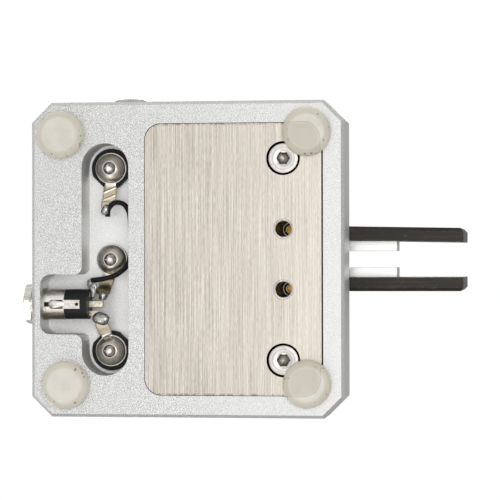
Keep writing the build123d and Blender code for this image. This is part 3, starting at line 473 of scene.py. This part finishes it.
def pivot_brass():
    """Golden brass, with painted shade round the rim of each pivot screw's lower end."""
    made = Finish("brass", Metallic=1.0)
    stain = made.cloud(0.9, 3.0, 0.6, 0.5)
    fine = made.cloud(3.0, 2.0, 0.5)
    tone = made.mix(made.step(0.7 * stain + 0.3 * fine, 0.35, 0.65), (0.34, 0.17, 0.04), (0.88, 0.58, 0.18))
    # Painted shade: the rim of each lower end is black, where the bore round it is in shade.
    low_end = made.step(made.axes()[2], base_high[2] + 0.6, base_high[2] + 0.5)
    rim = made.step(made.reach(*pivot_places), 1.0, 1.14) * low_end
    tone = made.mix(rim, tone, (0.015, 0.010, 0.006))
    polish = made.step(stain, 0.3, 0.7, 0.2, 0.36)
    bump = made.relief(stain, 0.35, 0.05, 0.1)
    return made.feed(Base_Color=tone, Roughness=polish, Normal=bump)


def lug_tin():
    """Tinned brass: silvery rings and tan tongues.

    The middle lug's tongue has a brown burn. The jack's middle tab has a patchy painted highlight within
    an outline of painted shade.
    """
    made = Finish("tinned lug", Metallic=1.0)
    distance = made.reach(*head_places)
    stain = made.cloud(0.55, 3.0, 0.65, 0.4)
    fine = made.cloud(3.5, 2.0, 0.5)
    tone = made.mix(made.step(0.7 * stain + 0.3 * fine, 0.35, 0.65), (0.62, 0.53, 0.40), (0.78, 0.70, 0.56))
    ring = made.step(distance, lug_radius + 0.8, lug_radius + 0.1)
    tone = made.mix(ring, tone, (0.92, 0.89, 0.84))
    burn_place = (7.6, terminal_y + 1.4)
    burn = made.step(made.reach(burn_place) + 1.6 * made.cloud(0.7, 3.0), 3.0, 2.1)
    tone = made.mix(burn, tone, made.mix(made.step(fine, 0.4, 0.6), (0.10, 0.08, 0.04), (0.30, 0.24, 0.14)))
    tab_place = (jack_x, terminal_y + 3.2)
    tab_half = (0.88, 2.0)
    tab = made.inside(tab_place, tab_half, 0.5)
    # Painted shade: a dark outline round the jack's middle tab.
    tone = made.mix(made.step(tab, -0.3, -0.1) * made.step(tab, 0.25, 0.08), tone, (0.14, 0.11, 0.08))
    # Painted highlight: the tab's middle is patchily bright.
    tab_highlight = made.step(tab, 0.25, 0.4) * made.step(made.cloud(1.1, 3.0, 0.6, 0.6), 0.5, 0.6)
    tone = made.mix(tab_highlight * 0.8, tone, (0.98, 0.96, 0.92))
    polish = made.step(stain, 0.3, 0.7, 0.26, 0.44)
    bump = made.relief(0.5 * stain + 0.5 * fine, 0.35, 0.05)
    return made.feed(Base_Color=tone, Roughness=polish, Normal=bump)


def solder_metal():
    """Dull solder: pewter swirls with dark flux in the hollows."""
    made = Finish("solder", Metallic=1.0)
    swirl = made.cloud(0.8, 4.0, 0.6, 1.5)
    fine = made.cloud(3.0, 2.0, 0.5)
    tone = made.ramp(
        0.75 * swirl + 0.25 * fine,
        (0.36, (0.05, 0.043, 0.036)), (0.5, (0.40, 0.39, 0.37)), (0.64, (0.72, 0.71, 0.69)),
    )
    polish = made.step(swirl, 0.3, 0.7, 0.42, 0.2)
    bump = made.relief(swirl, 0.6, 0.22)
    return made.feed(Base_Color=tone, Roughness=polish, Normal=bump)


def jack_nickel():
    """Thin nickel plate on the jack, with streaks along it.

    The shell has a painted reflection, a bright band on the operator's left of its middle, painted shade on
    the right, and is painted black inside as shade. Its flange is a little darker.
    """
    made = Finish("nickel plate", Metallic=1.0)
    streaks = made.cloud(1.0, 3.0, 0.6, 0.3, made.placed(scale=(1.6, 0.25, 1.6)))
    fine = made.cloud(3.0, 2.0, 0.5)
    marks = made.step(0.7 * streaks + 0.3 * fine, 0.34, 0.66)
    tone = made.mix(marks, (0.56, 0.53, 0.46), (0.86, 0.84, 0.78))
    across, along, height = made.axes((jack_x, 0, jack_z))
    shell = made.step(along, jack_wall_y + 0.15, jack_wall_y + 0.05)
    shell = shell * made.step(along, jack_front_y - 0.05, jack_front_y + 0.15)
    # Painted shade: the shell darkens on the right.
    dull = made.step(across, 0.5, 1.7) * shell
    tone = made.mix(dull * 0.75, tone, (0.30, 0.25, 0.20))
    # Painted reflection: a bright band on the left of the shell's middle.
    glow = made.step(abs(across + 1.4), 1.1, 0.4) * shell
    tone = made.mix(glow * 0.8, tone, (1.0, 0.98, 0.92))
    inside_radius = 3.1
    distance = (across * across + height * height).root()
    # Painted shade: the shell is black inside.
    bore = made.step(distance, inside_radius + 0.15, inside_radius) * shell
    tone = made.mix(bore, tone, (0.02, 0.017, 0.013))
    flange = made.step(along, jack_flange_y + 0.05, jack_flange_y + 0.25) * shell
    tone = made.mix(flange * 0.6, tone, (0.36, 0.335, 0.29))
    polish = made.step(streaks, 0.3, 0.7, 0.2, 0.36)
    bump = made.relief(0.6 * streaks + 0.4 * fine, 0.3, 0.03, 0.1)
    return made.feed(Base_Color=tone, Roughness=polish, Normal=bump)


def moulded_plastic(name, colour, pale_marks, rough=(0.4, 0.6), grain=3.0, shine=0.5):
    """Moulded plastic: a fine grain, a faint mottle and paler edges."""
    made = Finish(name, Metallic=0.0, Specular_IOR_Level=shine)
    mottle = made.cloud(0.4, 3.0, 0.6)
    fine = made.cloud(grain, 2.0, 0.6)
    edge = made.edge_nearness() * made.step(mottle, 0.35, 0.6)
    tone = made.mix(edge * 0.5 + made.step(fine, 0.4, 0.9, 0.0, 0.2), colour, pale_marks)
    polish = made.step(mottle, 0.3, 0.7, *rough)
    bump = made.relief(fine, 0.25, 0.03)
    return made.feed(Base_Color=tone, Roughness=polish, Normal=bump)


def finger_plate_metal():
    """Dark warm plate: lengthwise streaks of brown and green, dim scuffs and a painted highlight along the
    edges.
    """
    made = Finish("finger plate", Metallic=0.3, Specular_IOR_Level=0.3)
    streaks = made.cloud(1.0, 3.0, 0.6, 0.2, made.placed(scale=(1.6, 0.06, 1.2)))
    hue = made.cloud(1.0, 2.0, 0.5, 0.0, made.placed(centre=(9, 4, 0), scale=(0.7, 0.09, 0.7)))
    fine = made.cloud(5.0, 2.0, 0.5)
    tone = made.mix(made.step(hue, 0.35, 0.65), (0.020, 0.015, 0.011), (0.016, 0.016, 0.012))
    tone = made.mix(made.step(streaks, 0.45, 0.7, 0.0, 0.8), tone, (0.055, 0.040, 0.030))
    scuff = made.step(made.cloud(0.8, 4.0, 0.7, 1.0), 0.62, 0.72)
    # Painted highlight: lighter edges, broken up by a noise, as glints on the rounded edges. The dim scuffs
    # are the plate's own.
    edge = made.edge_nearness(0.2) * made.step(made.cloud(0.6, 2.0), 0.45, 0.6)
    tone = made.mix(edge * 0.35 + scuff * 0.15, tone, (0.30, 0.27, 0.23))
    polish = made.step(streaks, 0.3, 0.7, 0.32, 0.5)
    bump = made.relief(0.6 * streaks + 0.4 * fine, 0.2, 0.03, 0.15)
    return made.feed(Base_Color=tone, Roughness=polish, Normal=bump)


def clear_rubber():
    """Translucent warm silicone: a pale flat disc, a yellower rim and dark specks near it.

    The counterweight's corner shows through the two front feet as a warmer, outlined patch.
    """
    made = Finish("clear rubber", Metallic=0.0, IOR=1.42)
    cloud = made.cloud(0.3, 2.0, 0.5)
    distance = made.reach(*foot_places)
    tone = made.mix(made.step(cloud, 0.35, 0.65), (0.82, 0.785, 0.69), (0.88, 0.85, 0.76))
    rim_tone = made.mix(cloud, (0.70, 0.65, 0.53), (0.82, 0.78, 0.66))
    flat_radius = 4.0
    tone = made.mix(made.step(distance, flat_radius + 0.4, flat_radius - 0.4), rim_tone, tone)
    border = made.inside(weight_middle[:2], weight_half[:2], weight_corner)
    border = border + 0.5 * made.cloud(0.4) - 0.25
    tone = made.mix(made.step(border, -0.1, 0.5, 0.0, 0.6), tone, (0.66, 0.60, 0.49))
    tone = made.mix(made.step(abs(border), 0.2, 0.0, 0.0, 0.5), tone, (0.42, 0.38, 0.31))
    ring = made.step(abs(distance - flat_radius), 0.3, 0.05)
    tone = made.mix(ring * 0.25, tone, (0.90, 0.89, 0.84))
    rim = made.step(distance, flat_radius - 0.1, flat_radius + 0.9)
    speck = made.step(made.specks(0.9), 0.3, 0.2) * made.step(made.cloud(0.35, 1.0), 0.5, 0.58) * rim
    tone = made.mix(speck * 0.8, tone, (0.10, 0.08, 0.06))
    bump = made.relief(made.cloud(1.6, 2.0, 0.5), 0.1, 0.05)
    polish = made.step(cloud, 0.3, 0.7, 0.25, 0.38)
    cover = made.step(distance, foot_radius - 1.1, foot_radius - 0.1, 0.8, 0.9)
    return made.feed(Base_Color=tone, Roughness=polish, Alpha=cover.most(speck), Normal=bump)


finishes = {
    "blasted_aluminium": blasted_metal(),
    "brushed_stainless": weight_metal(),
    "screw_steel": plain_metal("screw steel", (0.72, 0.70, 0.67), (0.50, 0.48, 0.45)),
    "dark_nickel": head_nickel(),
    "nickel_plate": jack_nickel(),
    "machined_aluminium": brushed_metal(
        "milled aluminium", (0.80, 0.80, 0.79), (0.69, 0.69, 0.68), (3.0, 0.06, 3.0),
    ),
    "post_metal": brushed_metal(
        "satin nickel", (0.72, 0.71, 0.68), (0.56, 0.55, 0.52), (3.0, 0.08, 0.5),
    ),
    "brass": pivot_brass(),
    "silver": plain_metal("silver", (0.88, 0.87, 0.84), (0.66, 0.64, 0.60)),
    "tinned_lug": lug_tin(),
    "solder": solder_metal(),
    "magnet": plain_metal("magnet plating", (0.66, 0.66, 0.67), (0.48, 0.48, 0.49), (0.12, 0.22)),
    "rubber": clear_rubber(),
    "black_insulator": moulded_plastic(
        "black moulding", (0.010, 0.010, 0.010), (0.06, 0.06, 0.06), (0.45, 0.65), 3.0, 0.25,
    ),
    "black_wire": moulded_plastic(
        "wire insulation", (0.006, 0.006, 0.006), (0.03, 0.03, 0.03), (0.45, 0.6), 4.0, 0.2,
    ),
    "finger_plate": finger_plate_metal(),
}
cap_finish = cap_steel()
knob_finish = knob_steel()


def lattice(rows, columns, closed_rows):
    """Quads between neighbouring points of a grid, closed round each row."""
    count = rows if closed_rows else rows - 1
    row, column = np.meshgrid(np.arange(count), np.arange(columns), indexing="ij")
    next_row = (row + 1) % rows
    next_column = (column + 1) % columns
    corners = (
        row * columns + column, row * columns + next_column,
        next_row * columns + next_column, next_row * columns + column,
    )
    return np.stack([corner.ravel() for corner in corners], axis=1)


def skin(points, closed_rows=False):
    """A closed surface from rings of points: round each ring, and capped at both ends.

    Each end is a fan of triangles to the middle of its ring. With closed_rows the last
    ring joins the first and there are no ends.
    """
    rows, columns, _ = points.shape
    vertices = points.reshape(-1, 3)
    faces = lattice(rows, columns, closed_rows).tolist()
    if closed_rows:
        return vertices, faces
    vertices = np.vstack([vertices, points[0].mean(0), points[-1].mean(0)])
    around = np.arange(columns)
    after = (around + 1) % columns
    first = rows * columns
    last_row = (rows - 1) * columns
    low = np.stack([np.full(columns, first), after, around], axis=1)
    high = np.stack([np.full(columns, first + 1), last_row + around, last_row + after], axis=1)
    return vertices, faces + low.tolist() + high.tolist()


def piece(name, parts, finish, body, node):
    """A piece from closed surfaces in mm, riding on a body and standing for a CAD node."""
    vertices = []
    faces = []
    total = 0
    for part_vertices, part_faces in parts:
        vertices.append(part_vertices)
        faces.extend([[corner + total for corner in face] for face in part_faces])
        total += len(part_vertices)
    mesh = bpy.data.meshes.new(name)
    mesh.from_pydata((np.vstack(vertices) * MM).tolist(), [], faces)
    mesh.update()
    mesh.shade_smooth()
    mesh.set_sharp_from_angle(angle=radians(40))
    mesh.materials.append(finish)
    made = bpy.data.objects.new(name, mesh)
    bpy.context.scene.collection.objects.link(made)
    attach(made, body)
    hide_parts(node)


def frame_of(axis):
    """Two directions square to an axis, turning the right way round it."""
    axis = np.array(axis, float)
    first = np.array((0.0, 1.0, 0.0)) if abs(axis[0]) > 0.5 else np.array((1.0, 0.0, 0.0))
    return first, np.cross(axis, first), axis


def turned(origin, axis, stations, columns, shape=None, closed_rows=False):
    """A surface turned about an axis, from stations that each give a place along it and a radius.

    A point at angle a of a station lies at origin + along * axis + radius * (cos a, sin a).
    shape takes the along, radius and angle arrays and returns the radius of each point.
    """
    stations = np.array(stations, float)
    angle = np.arange(columns) * 2 * pi / columns
    along = np.repeat(stations[:, :1], columns, axis=1)
    radius = np.repeat(stations[:, 1:2], columns, axis=1)
    angle = np.repeat(angle[None, :], len(stations), axis=0)
    if shape:
        radius = shape(along, radius, angle)
    first, second, out = frame_of(axis)
    points = (
        np.array(origin, float)
        + along[..., None] * out
        + (radius * np.cos(angle))[..., None] * first
        + (radius * np.sin(angle))[..., None] * second
    )
    return skin(points, closed_rows)


def arc(along, radius, size, start, end, count=6):
    """Stations on a quarter or other arc about a centre, by its angles in degrees from outwards."""
    angles = np.radians(np.linspace(start, end, count))
    return [(along + size * sin(angle), radius + size * cos(angle)) for angle in angles]


def rise(value, low, high):
    """A smooth rise from 0 to 1 between two values: 3 s^2 - 2 s^3 of the share s between them."""
    share = np.clip((value - low) / (high - low), 0, 1)
    return share * share * (3 - 2 * share)


fine_pitch = 0.5
coarse_pitch = 0.7
centre_radius = 0.05


def threaded(start, end, depth, pitch, inner_radius=1.5):
    """A radius shape for a screw thread: a triangle wave that climbs one pitch a turn.

    It cuts only what lies beyond the inner radius, so a bore keeps its smooth wall.
    """

    def shape(along, radius, angle):
        phase = (along / pitch - angle / (2 * pi)) % 1
        cut = 1 - abs(2 * phase - 1)
        run = rise(along, start, start + pitch) * rise(-along, -end, pitch - end)
        return radius - depth * cut * run * (radius > inner_radius)

    return shape


def fluted(low, high, count, depth, inner_radius=2.0):
    """A radius shape for straight flutes: sharp lands with round hollows between them.

    With n flutes of a depth d, the radius at angle a shrinks by d * (1 - |sin(n a / 2)|^0.7)
    beyond the inner radius, and runs out over 0.5 mm at both ends.
    """

    def shape(along, radius, angle):
        hollow = abs(np.sin(angle * count / 2)) ** 0.7
        reach = rise(along, low, low + 0.5) * rise(-along, -high, 0.5 - high)
        return radius - depth * (1 - hollow) * reach * (radius > inner_radius)

    return shape


screw_radius = 1.95
bore_radius = 0.8
bore_depth = 2.05


def adjusting_screw(start_x, y, sign, length, knob):
    """A threaded screw with a fluted knob, both turned about the same axis.

    The knob is given by its radius, length, bevel and number of flutes. The face at its outer
    end is sunk a little within its rim. The screw's inner end has a bore for its tip.
    """
    knob_radius, knob_length, bevel, flutes = knob
    origin = (sign * start_x, y, contact_z)
    axis = (sign, 0, 0)
    chamfer = 0.4
    shaft_end = length - knob_length + 0.5
    rows = int(shaft_end / fine_pitch * 8)
    shaft = [
        (bore_depth, centre_radius), (bore_depth, bore_radius), (0.0, bore_radius),
        (0.0, screw_radius - chamfer),
    ]
    shaft += [(at, screw_radius) for at in np.linspace(chamfer, shaft_end, rows)]
    low = length - knob_length
    rim = knob_radius - bevel
    sunk = length - 0.16
    low_turn, high_turn = low + bevel, length - bevel
    grip = [(low, centre_radius), (low, rim - 0.9), (low + 0.12, rim - 0.6)]
    grip += arc(low_turn, rim, bevel, -80, 0, 8)
    grip += [(at, knob_radius) for at in np.linspace(low_turn + 0.4, high_turn - 0.4, 12)]
    grip += arc(high_turn, rim, bevel, 0, 85, 8)
    grip += [(length - 0.02, rim - 0.15), (sunk, rim - 0.3), (sunk, centre_radius)]
    return [
        turned(origin, axis, shaft, 40, threaded(chamfer + 0.2, shaft_end, 0.28, fine_pitch)),
        turned(origin, axis, grip, flutes * 8, fluted(low + 0.5, length - 0.5, flutes, 0.3)),
    ]


contact_knob = (4.3, 9.0, 1.38, 36)
tension_knob = (3.4, 5.5, 0.7, 30)
for side, sign in sides:
    for kind, y, knob in (("contact", contact_y, contact_knob), ("tension", tension_y, tension_knob)):
        node = f"{side}_{kind}_screw"
        low, high = box_mm(node)
        ends = sorted((abs(low[0]), abs(high[0])))
        parts = adjusting_screw(ends[0], y, sign, ends[1] - ends[0], knob)
        piece(
            f"{side}_{kind}_knob_screw", parts, knob_finish,
            f"{side}_{kind}_turner", node,
        )


def bumper(x, y):
    """A rubber foot: a low dome on a straight rim, slightly hollow where it touches down."""
    edge = 0.2
    stations = [(0.12, centre_radius), (0.06, 1.8), (0.0, 3.0)]
    stations += arc(foot_round, foot_radius - foot_round, foot_round, -88, -8, 12)
    stations += [(2.4, foot_radius), (2.9, foot_radius - 0.02)]
    stations += arc(foot_height - edge, foot_radius - edge, edge, 0, 90, 4)
    return turned((x, y, 0), (0, 0, 1), stations, 96)


piece(
    "rubber_bumpers", [bumper(x, y) for x, y in foot_places], finishes["rubber"],
    "key_frame", "rubber_feet",
)


def socket_head(centre, low_z, crown, height, hexagon, shank):
    """A screw with a hexagonal socket in its round head, facing down, and its threaded shank.

    The head is a crown of stations turned about the screw's axis. The socket's radius at
    angle a is its half width over the cosine of the angle to the nearest flat.
    """
    half_width, depth = hexagon
    shank_radius, length = shank
    drill_point = depth + 0.35
    edge = 0.12
    chamfer = 0.4
    end = height + length
    stations = [(drill_point, centre_radius), (depth, half_width * 0.92), (depth - 0.02, half_width)]
    stations += [(at, half_width) for at in np.linspace(depth - 0.1, crown[0][0] + edge, 4)]
    hex_rows = len(stations)
    stations += crown
    radius = crown[-1][1]
    stations += [(height - edge, radius), (height, radius - edge), (height, shank_radius + 0.1)]
    rows = int(length / coarse_pitch * 6)
    stations += [(at, shank_radius) for at in np.linspace(height + 0.2, end - chamfer, rows)]
    stations += [(end, shank_radius - chamfer)]
    cut = threaded(height + 0.6, end - chamfer, 0.3, coarse_pitch)
    row = np.arange(len(stations))[:, None]

    def shape(along, spread, angle):
        flat = (angle + pi / 6) % (pi / 3) - pi / 6
        six = spread / np.cos(flat)
        spread = np.where((row > 0) & (row < hex_rows), six, spread)
        return cut(along, spread, angle)

    return turned((*centre, low_z), (0, 0, 1), stations, 96, shape)


cap_height = 4.0
cap_rim = 0.1
cap_hexagon = (1.36, 2.0)
cap_crown = [(0.03, 1.62), (0.0, 1.68), (0.0, 2.4)]
cap_crown += arc(cap_rim, head_radius - cap_rim, cap_rim, -88, 0, 12)
cap_shank = (screw_radius, cap_high[2] - cap_face_z - cap_height)
piece(
    "socket_cap_screws",
    [socket_head(place, cap_face_z, cap_crown, cap_height, cap_hexagon, cap_shank) for place in cap_places],
    cap_finish, "key_frame", "counterweight_screws",
)

button_height = 2.2
button_hexagon = (1.25, 1.5)
dome_radius = 4.3
lip_turn = np.arcsin(lip_radius / dome_radius)
dome = [
    (dome_radius * (cos(lip_turn) - cos(turn)), dome_radius * sin(turn))
    for turn in np.linspace(lip_turn, np.arcsin(head_radius / dome_radius), 24)
]
button_crown = [(0.2, 1.40), (0.03, 1.50), (0.0, 1.53), (0.0, 1.62)] + dome
for name, x in terminals:
    low, high = box_mm(f"{name}_terminal_screw")
    shank = (screw_radius, high[2] - low[2] - button_height)
    head = socket_head((x, terminal_y), low[2], button_crown, button_height, button_hexagon, shank)
    piece(
        f"{name}_button_screw", [head], finishes["dark_nickel"],
        "key_frame", f"{name}_terminal_screw",
    )


def ribbon(line, across, width, half, lift):
    """A flat strip with rounded edges, carried along a line.

    Over the width u runs as a sine from edge to edge, and its faces stand off the line by
    half * sqrt(1 - |u / width|^6), plus a lift that depends on the row and on u.
    """
    spread = np.sin(np.linspace(-pi / 2, pi / 2, 41))
    rim = half * np.sqrt(1 - abs(spread) ** 6)
    u = width[:, None] * np.concatenate([spread, spread[-2:0:-1]])
    v = np.concatenate([-rim, rim[-2:0:-1]]) + lift(u)
    along = np.gradient(line, axis=0)
    along /= np.linalg.norm(along, axis=1, keepdims=True)
    normal = np.cross(along, across)
    return skin(line[:, None] + u[..., None] * across + v[..., None] * normal[:, None])


# The tongue of each lug: its turn in plan and its bend in degrees, how far from the ring's
# centre its flat part ends, the length of its bent part, and its creases, each a place along
# it, a skew, a height and a breadth.

lug_turns = {"left": 2.0, "center": 11.0, "right": 163.0}
lug_bends = {"left": 20.0, "center": 40.0, "right": 30.0}
lug_flats = {"left": 4.6, "center": 4.3, "right": 3.9}
lug_slopes = {"left": 5.8, "center": 5.9, "right": 4.7}
lug_creases = {
    "left": ((5.3, 0.53, 0.16, 0.24), (7.3, 0.49, 0.12, 0.2)),
    "center": ((4.3, 0.0, 0.08, 0.4), (8.6, -0.2, 0.1, 0.3)),
    "right": ((3.95, 0.1, 0.06, 0.3), (6.4, 0.1, 0.04, 0.9)),
}


def lug_strip(name, x):
    """A solder lug: a flat ring, and a tongue that leaves it level and then bends down.

    The tongue's middle line is the running sum of steps that turn smoothly from level to the
    bend. It widens a little and its end is rounded. Its bent part is cupped by a square of
    the place across it. Each crease is a ridge, height * exp(-(distance / breadth)^2), along
    a line that may run askew. The left tongue narrows to one side near its end.
    """
    turn = radians(lug_turns[name])
    top = roof_z - (0 if name == "center" else washer_thick)
    low = top - lug_thick
    start = lug_bore + 0.5
    run = np.linspace(0, lug_flats[name] + lug_slopes[name] - start, 90)
    knee = lug_flats[name] - start
    bend = radians(lug_bends[name]) * rise(run, knee - 0.5, knee + 0.5)
    step = np.diff(run, prepend=0)
    out = start + np.cumsum(step * np.cos(bend))
    below_ring = 0.01
    level = top - lug_thick / 2 - below_ring - np.cumsum(step * np.sin(bend))
    neck, widening = 1.38, 0.24
    width = neck + widening * rise(run, 1.3, 2.2)
    aside = np.zeros_like(run)
    if name == "left":
        narrow = rise(run, 4.9, 5.9)
        width = width - 0.62 * narrow
        aside = 0.8 * narrow
    round_end = 1.1
    closing = np.clip((run - run[-1] + round_end) / round_end, 0, 0.999)
    width = width * np.sqrt(1 - closing ** 2)
    across = np.array((-sin(turn), cos(turn), 0.0))
    line = np.stack([
        x + out * cos(turn) + aside * across[0],
        terminal_y + out * sin(turn) + aside * across[1],
        level,
    ], axis=-1)

    cup = 0.08

    def lift(u):
        total = -cup * (u / 1.6) ** 2 * rise(run, knee, knee + 1.0)[:, None]
        for at, skew, height, breadth in lug_creases[name]:
            distance = run[:, None] + start - at - skew * (u + aside[:, None])
            total = total - height * np.exp(-((distance / breadth) ** 2))
        return total

    inner, outer = 0.06, 0.1
    loop = [(top - inner, lug_bore), (low + inner, lug_bore), (low, lug_bore + inner)]
    loop += [(low, lug_radius - outer), (low + outer, lug_radius), (top - outer, lug_radius)]
    loop += [(top, lug_radius - outer), (top, lug_bore + inner)]
    ring = turned((x, terminal_y, 0), (0, 0, 1), loop, 72, closed_rows=True)
    return [ring, ribbon(line, across, width, lug_thick / 2, lift)]


for name, x in terminals:
    piece(
        f"{name}_terminal_lug", lug_strip(name, x), finishes["tinned_lug"],
        "key_frame", f"{name}_solder_lug",
    )


def blob(centre, radii, azimuth, lumps):
    """A lump of solder: an ellipsoid whose radius swells and sinks in a few broad waves.

    At angle p from its pole and a round it, each lump adds its size times
    sin(turns * a + shift) * sin(p)^2 * cos(tilt * p) to a radius of 1.
    """
    columns = 40
    pole = 0.02
    rows = np.linspace(pole, pi - pole, 26)[:, None]
    around = (np.arange(columns) * 2 * pi / columns)[None, :]
    swell = 1 + sum(
        size * np.sin(turns * around + shift) * np.sin(rows) ** 2 * np.cos(tilt * rows)
        for size, turns, tilt, shift in lumps
    )
    flat = np.stack([
        swell * radii[0] * np.sin(rows) * np.cos(around),
        swell * radii[1] * np.sin(rows) * np.sin(around),
        -swell * radii[2] * np.cos(rows) * np.ones_like(around),
    ], axis=-1)
    c, s = cos(radians(azimuth)), sin(radians(azimuth))
    turned_points = np.stack([
        flat[..., 0] * c - flat[..., 1] * s, flat[..., 0] * s + flat[..., 1] * c, flat[..., 2],
    ], axis=-1)
    return skin(turned_points + np.array(centre))


# Each bead of solder has its lumps (size, turns, tilt, shift), and its centre, radii and
# azimuth in degrees.

waves = (
    ((0.16, 2, 1.0, 0.3), (0.08, 3, 2.0, 1.1), (0.05, 5, 1.0, 2.0)),
    ((0.12, 3, 1.0, 0.8), (0.07, 2, 2.0, 2.1), (0.05, 5, 2.0, 0.4)),
    ((0.18, 2, 1.0, 1.9), (0.10, 3, 1.0, 0.2), (0.06, 4, 2.0, 1.0)),
    ((0.12, 2, 1.0, 0.9), (0.08, 3, 1.0, 2.4)),
)
solder_places = (
    ((-11.85, terminal_y + 0.75, 7.85), (1.35, 0.95, 0.85), 15.0),
    ((8.75, terminal_y + 1.1, 7.2), (1.1, 1.05, 1.0), 0.0),
    ((14.2, terminal_y + 1.7, 7.3), (2.1, 1.55, 1.25), 100.0),
    ((7.35, terminal_y + 3.75, 8.0), (1.95, 0.95, 0.5), 8.0),
)
piece(
    "solder_blobs", [blob(*place, lumps) for place, lumps in zip(solder_places, waves)],
    finishes["solder"], "key_frame", "solder_joints",
)


def spring_leaf():
    """The jack's leaf: a strip that bulges out of the shell's window, most behind its middle.

    With s from 0 at its rear end to 1, the leaf stands off by sin(pi s^0.8)^0.9 of its bulge.
    A bell curve makes it widest at s = 0.3, and it narrows at both ends.
    """
    low, high = box_mm("jack_spring_contact")
    middle = (low[0] + high[0]) / 2
    count = 70
    over = 0.55
    bulge = 0.5
    narrow, widening, bell = 0.8, 0.2, 0.24
    half_thick, cup = 0.15, 0.3
    share = np.linspace(0, 1, count)
    y = high[1] + over + (low[1] - high[1] - 2 * over) * share
    z = low[2] + 0.12 - bulge * np.sin(pi * share ** 0.8) ** 0.9
    line = np.stack([np.full(count, middle), y, z], axis=-1)
    width = narrow + widening * np.exp(-(((share - 0.3) / bell) ** 2))
    width = width * np.sqrt(1 - np.clip(abs(2 * share - 1), 0, 0.999) ** 10 * 0.7)
    return ribbon(line, np.array((1.0, 0.0, 0.0)), width, half_thick, lambda u: cup * u ** 2)


piece(
    "jack_leaf", [spring_leaf()], finishes["nickel_plate"],
    "key_frame", "jack_spring_contact",
)


# Finishes of the CAD nodes

node_slots = {row["node"]: row["material_slot"] for row in frame["record"]["subparts"]}
for node, made in frame["nodes"].items():
    made.data.materials.clear()
    made.data.materials.append(finishes[node_slots[node]])


# Stage, light and camera

sky_levels = (
    (0.0, 1.0), (0.05, 0.95), (0.13, 0.62), (0.22, 0.52),
    (0.42, 0.6), (0.65, 0.62), (0.93, 0.52), (1.0, 0.46),
)
camera_forward = (-0.005327, 0.133956, 0.990973)


def floor():
    """A wide, pale, one-sided floor that neither hides nor shades the key's underside.

    Its reach is in metres.
    """
    reach = 4.0
    mesh = bpy.data.meshes.new("floor")
    corners = [(-reach, -reach, 0), (reach, -reach, 0), (reach, reach, 0), (-reach, reach, 0)]
    mesh.from_pydata(corners, [], [(0, 1, 2, 3)])
    made = Finish("pale floor", Roughness=0.6)
    made.feed(Base_Color=made.mix(made.cloud(0.02), (0.78, 0.78, 0.77), (0.81, 0.81, 0.80)))
    behind = made.add("NewGeometry", output="Backfacing")
    clear = made.add("BsdfTransparent")
    surface = Socket(made, made.shader.outputs[0])
    mixed = made.add("MixShader", None, {0: behind, 1: surface, 2: clear})
    made.join(made.tree.nodes["Material Output"].inputs["Surface"], mixed)
    mesh.materials.append(made.material)
    plane = bpy.data.objects.new("floor", mesh)
    bpy.context.scene.collection.objects.link(plane)
    for kind in ("shadow", "diffuse", "glossy", "transmission"):
        setattr(plane, f"visible_{kind}", False)


def sky():
    """A world of soft white light.

    Its level follows the height of each direction, from straight down to straight up: white
    below the key and greyer elsewhere. Away from those two it is lighter to the operator's
    left and to the rear. Where the camera looks there is a patch of white.
    """
    world = bpy.data.worlds.new("studio")
    bpy.context.scene.world = world
    world.use_nodes = True
    made = Nodes(world.node_tree)
    way = made.add("TexCoord", output="Generated")
    x, y, z = (made.add("SeparateXYZ", None, {0: way}, output) for output in range(3))
    spread = made.add("MapRange", None, {"Value": z, "From Min": -1.0, "From Max": 1.0})
    level = made.ramp(spread, *((at, (light, light, light)) for at, light in sky_levels))
    level = made.add("SeparateXYZ", None, {0: level})
    side = made.step(abs(z), 0.97, 0.75)
    level = level * (1.0 + side * (0.2 * y - 0.36 * x))
    towards = made.add("VectorMath", {"operation": "DOT_PRODUCT"}, {0: way, 1: camera_forward}, output=1)
    backdrop = made.step(towards, 0.981, 0.9855)
    white = 1.02
    light = level + backdrop * (white - level)
    made.join(made.tree.nodes["Background"].inputs["Color"], light)


def lamp(name, place, target, size, power):
    """An area light that faces a point, its places and size in mm and its power in watts."""
    light = bpy.data.lights.new(name, "AREA")
    light.shape = "RECTANGLE"
    light.size, light.size_y = (value * MM for value in size)
    light.energy = power
    made = bpy.data.objects.new(name, light)
    back = np.array(place, float) - np.array(target, float)
    made.location = tuple(np.array(place) * MM)
    made.rotation_mode = "QUATERNION"
    made.rotation_quaternion = Vector(back).to_track_quat("Z", "Y")
    bpy.context.scene.collection.objects.link(made)


floor()
sky()
lamp("low front lamp", (0, -150, -400), (0, 0, 5), (220, 220), 0.47)
lamp("low side lamp", (330, 90, -300), (0, 0, 5), (260, 260), 0.35)
lamp("high lamp", (-330, 120, 620), (0, 0, 20), (400, 400), 2.2)
lamp("high rear lamp", (300, 450, 500), (0, 0, 20), (300, 300), 1.2)

camera_place = (0.53, base_y - 83.44, -501.4)
camera_right = (0.001653, -0.990984, 0.133967)
camera_up = (-0.999984, -0.002351, -0.005057)
camera_back = tuple(-value for value in camera_forward)
camera = bpy.data.objects.new("camera", bpy.data.cameras.new("camera"))
camera.matrix_world = Matrix([
    (right, up, back, place * MM)
    for right, up, back, place in zip(camera_right, camera_up, camera_back, camera_place)
] + [(0, 0, 0, 1)])
camera.data.lens = 155.485
camera.data.sensor_width = 36
camera.data.clip_start = 0.01
camera.data.clip_end = 20
bpy.context.scene.collection.objects.link(camera)
bpy.context.scene.camera = camera
bpy.context.scene.view_settings.view_transform = "Standard"
bpy.context.scene.view_settings.look = "None"
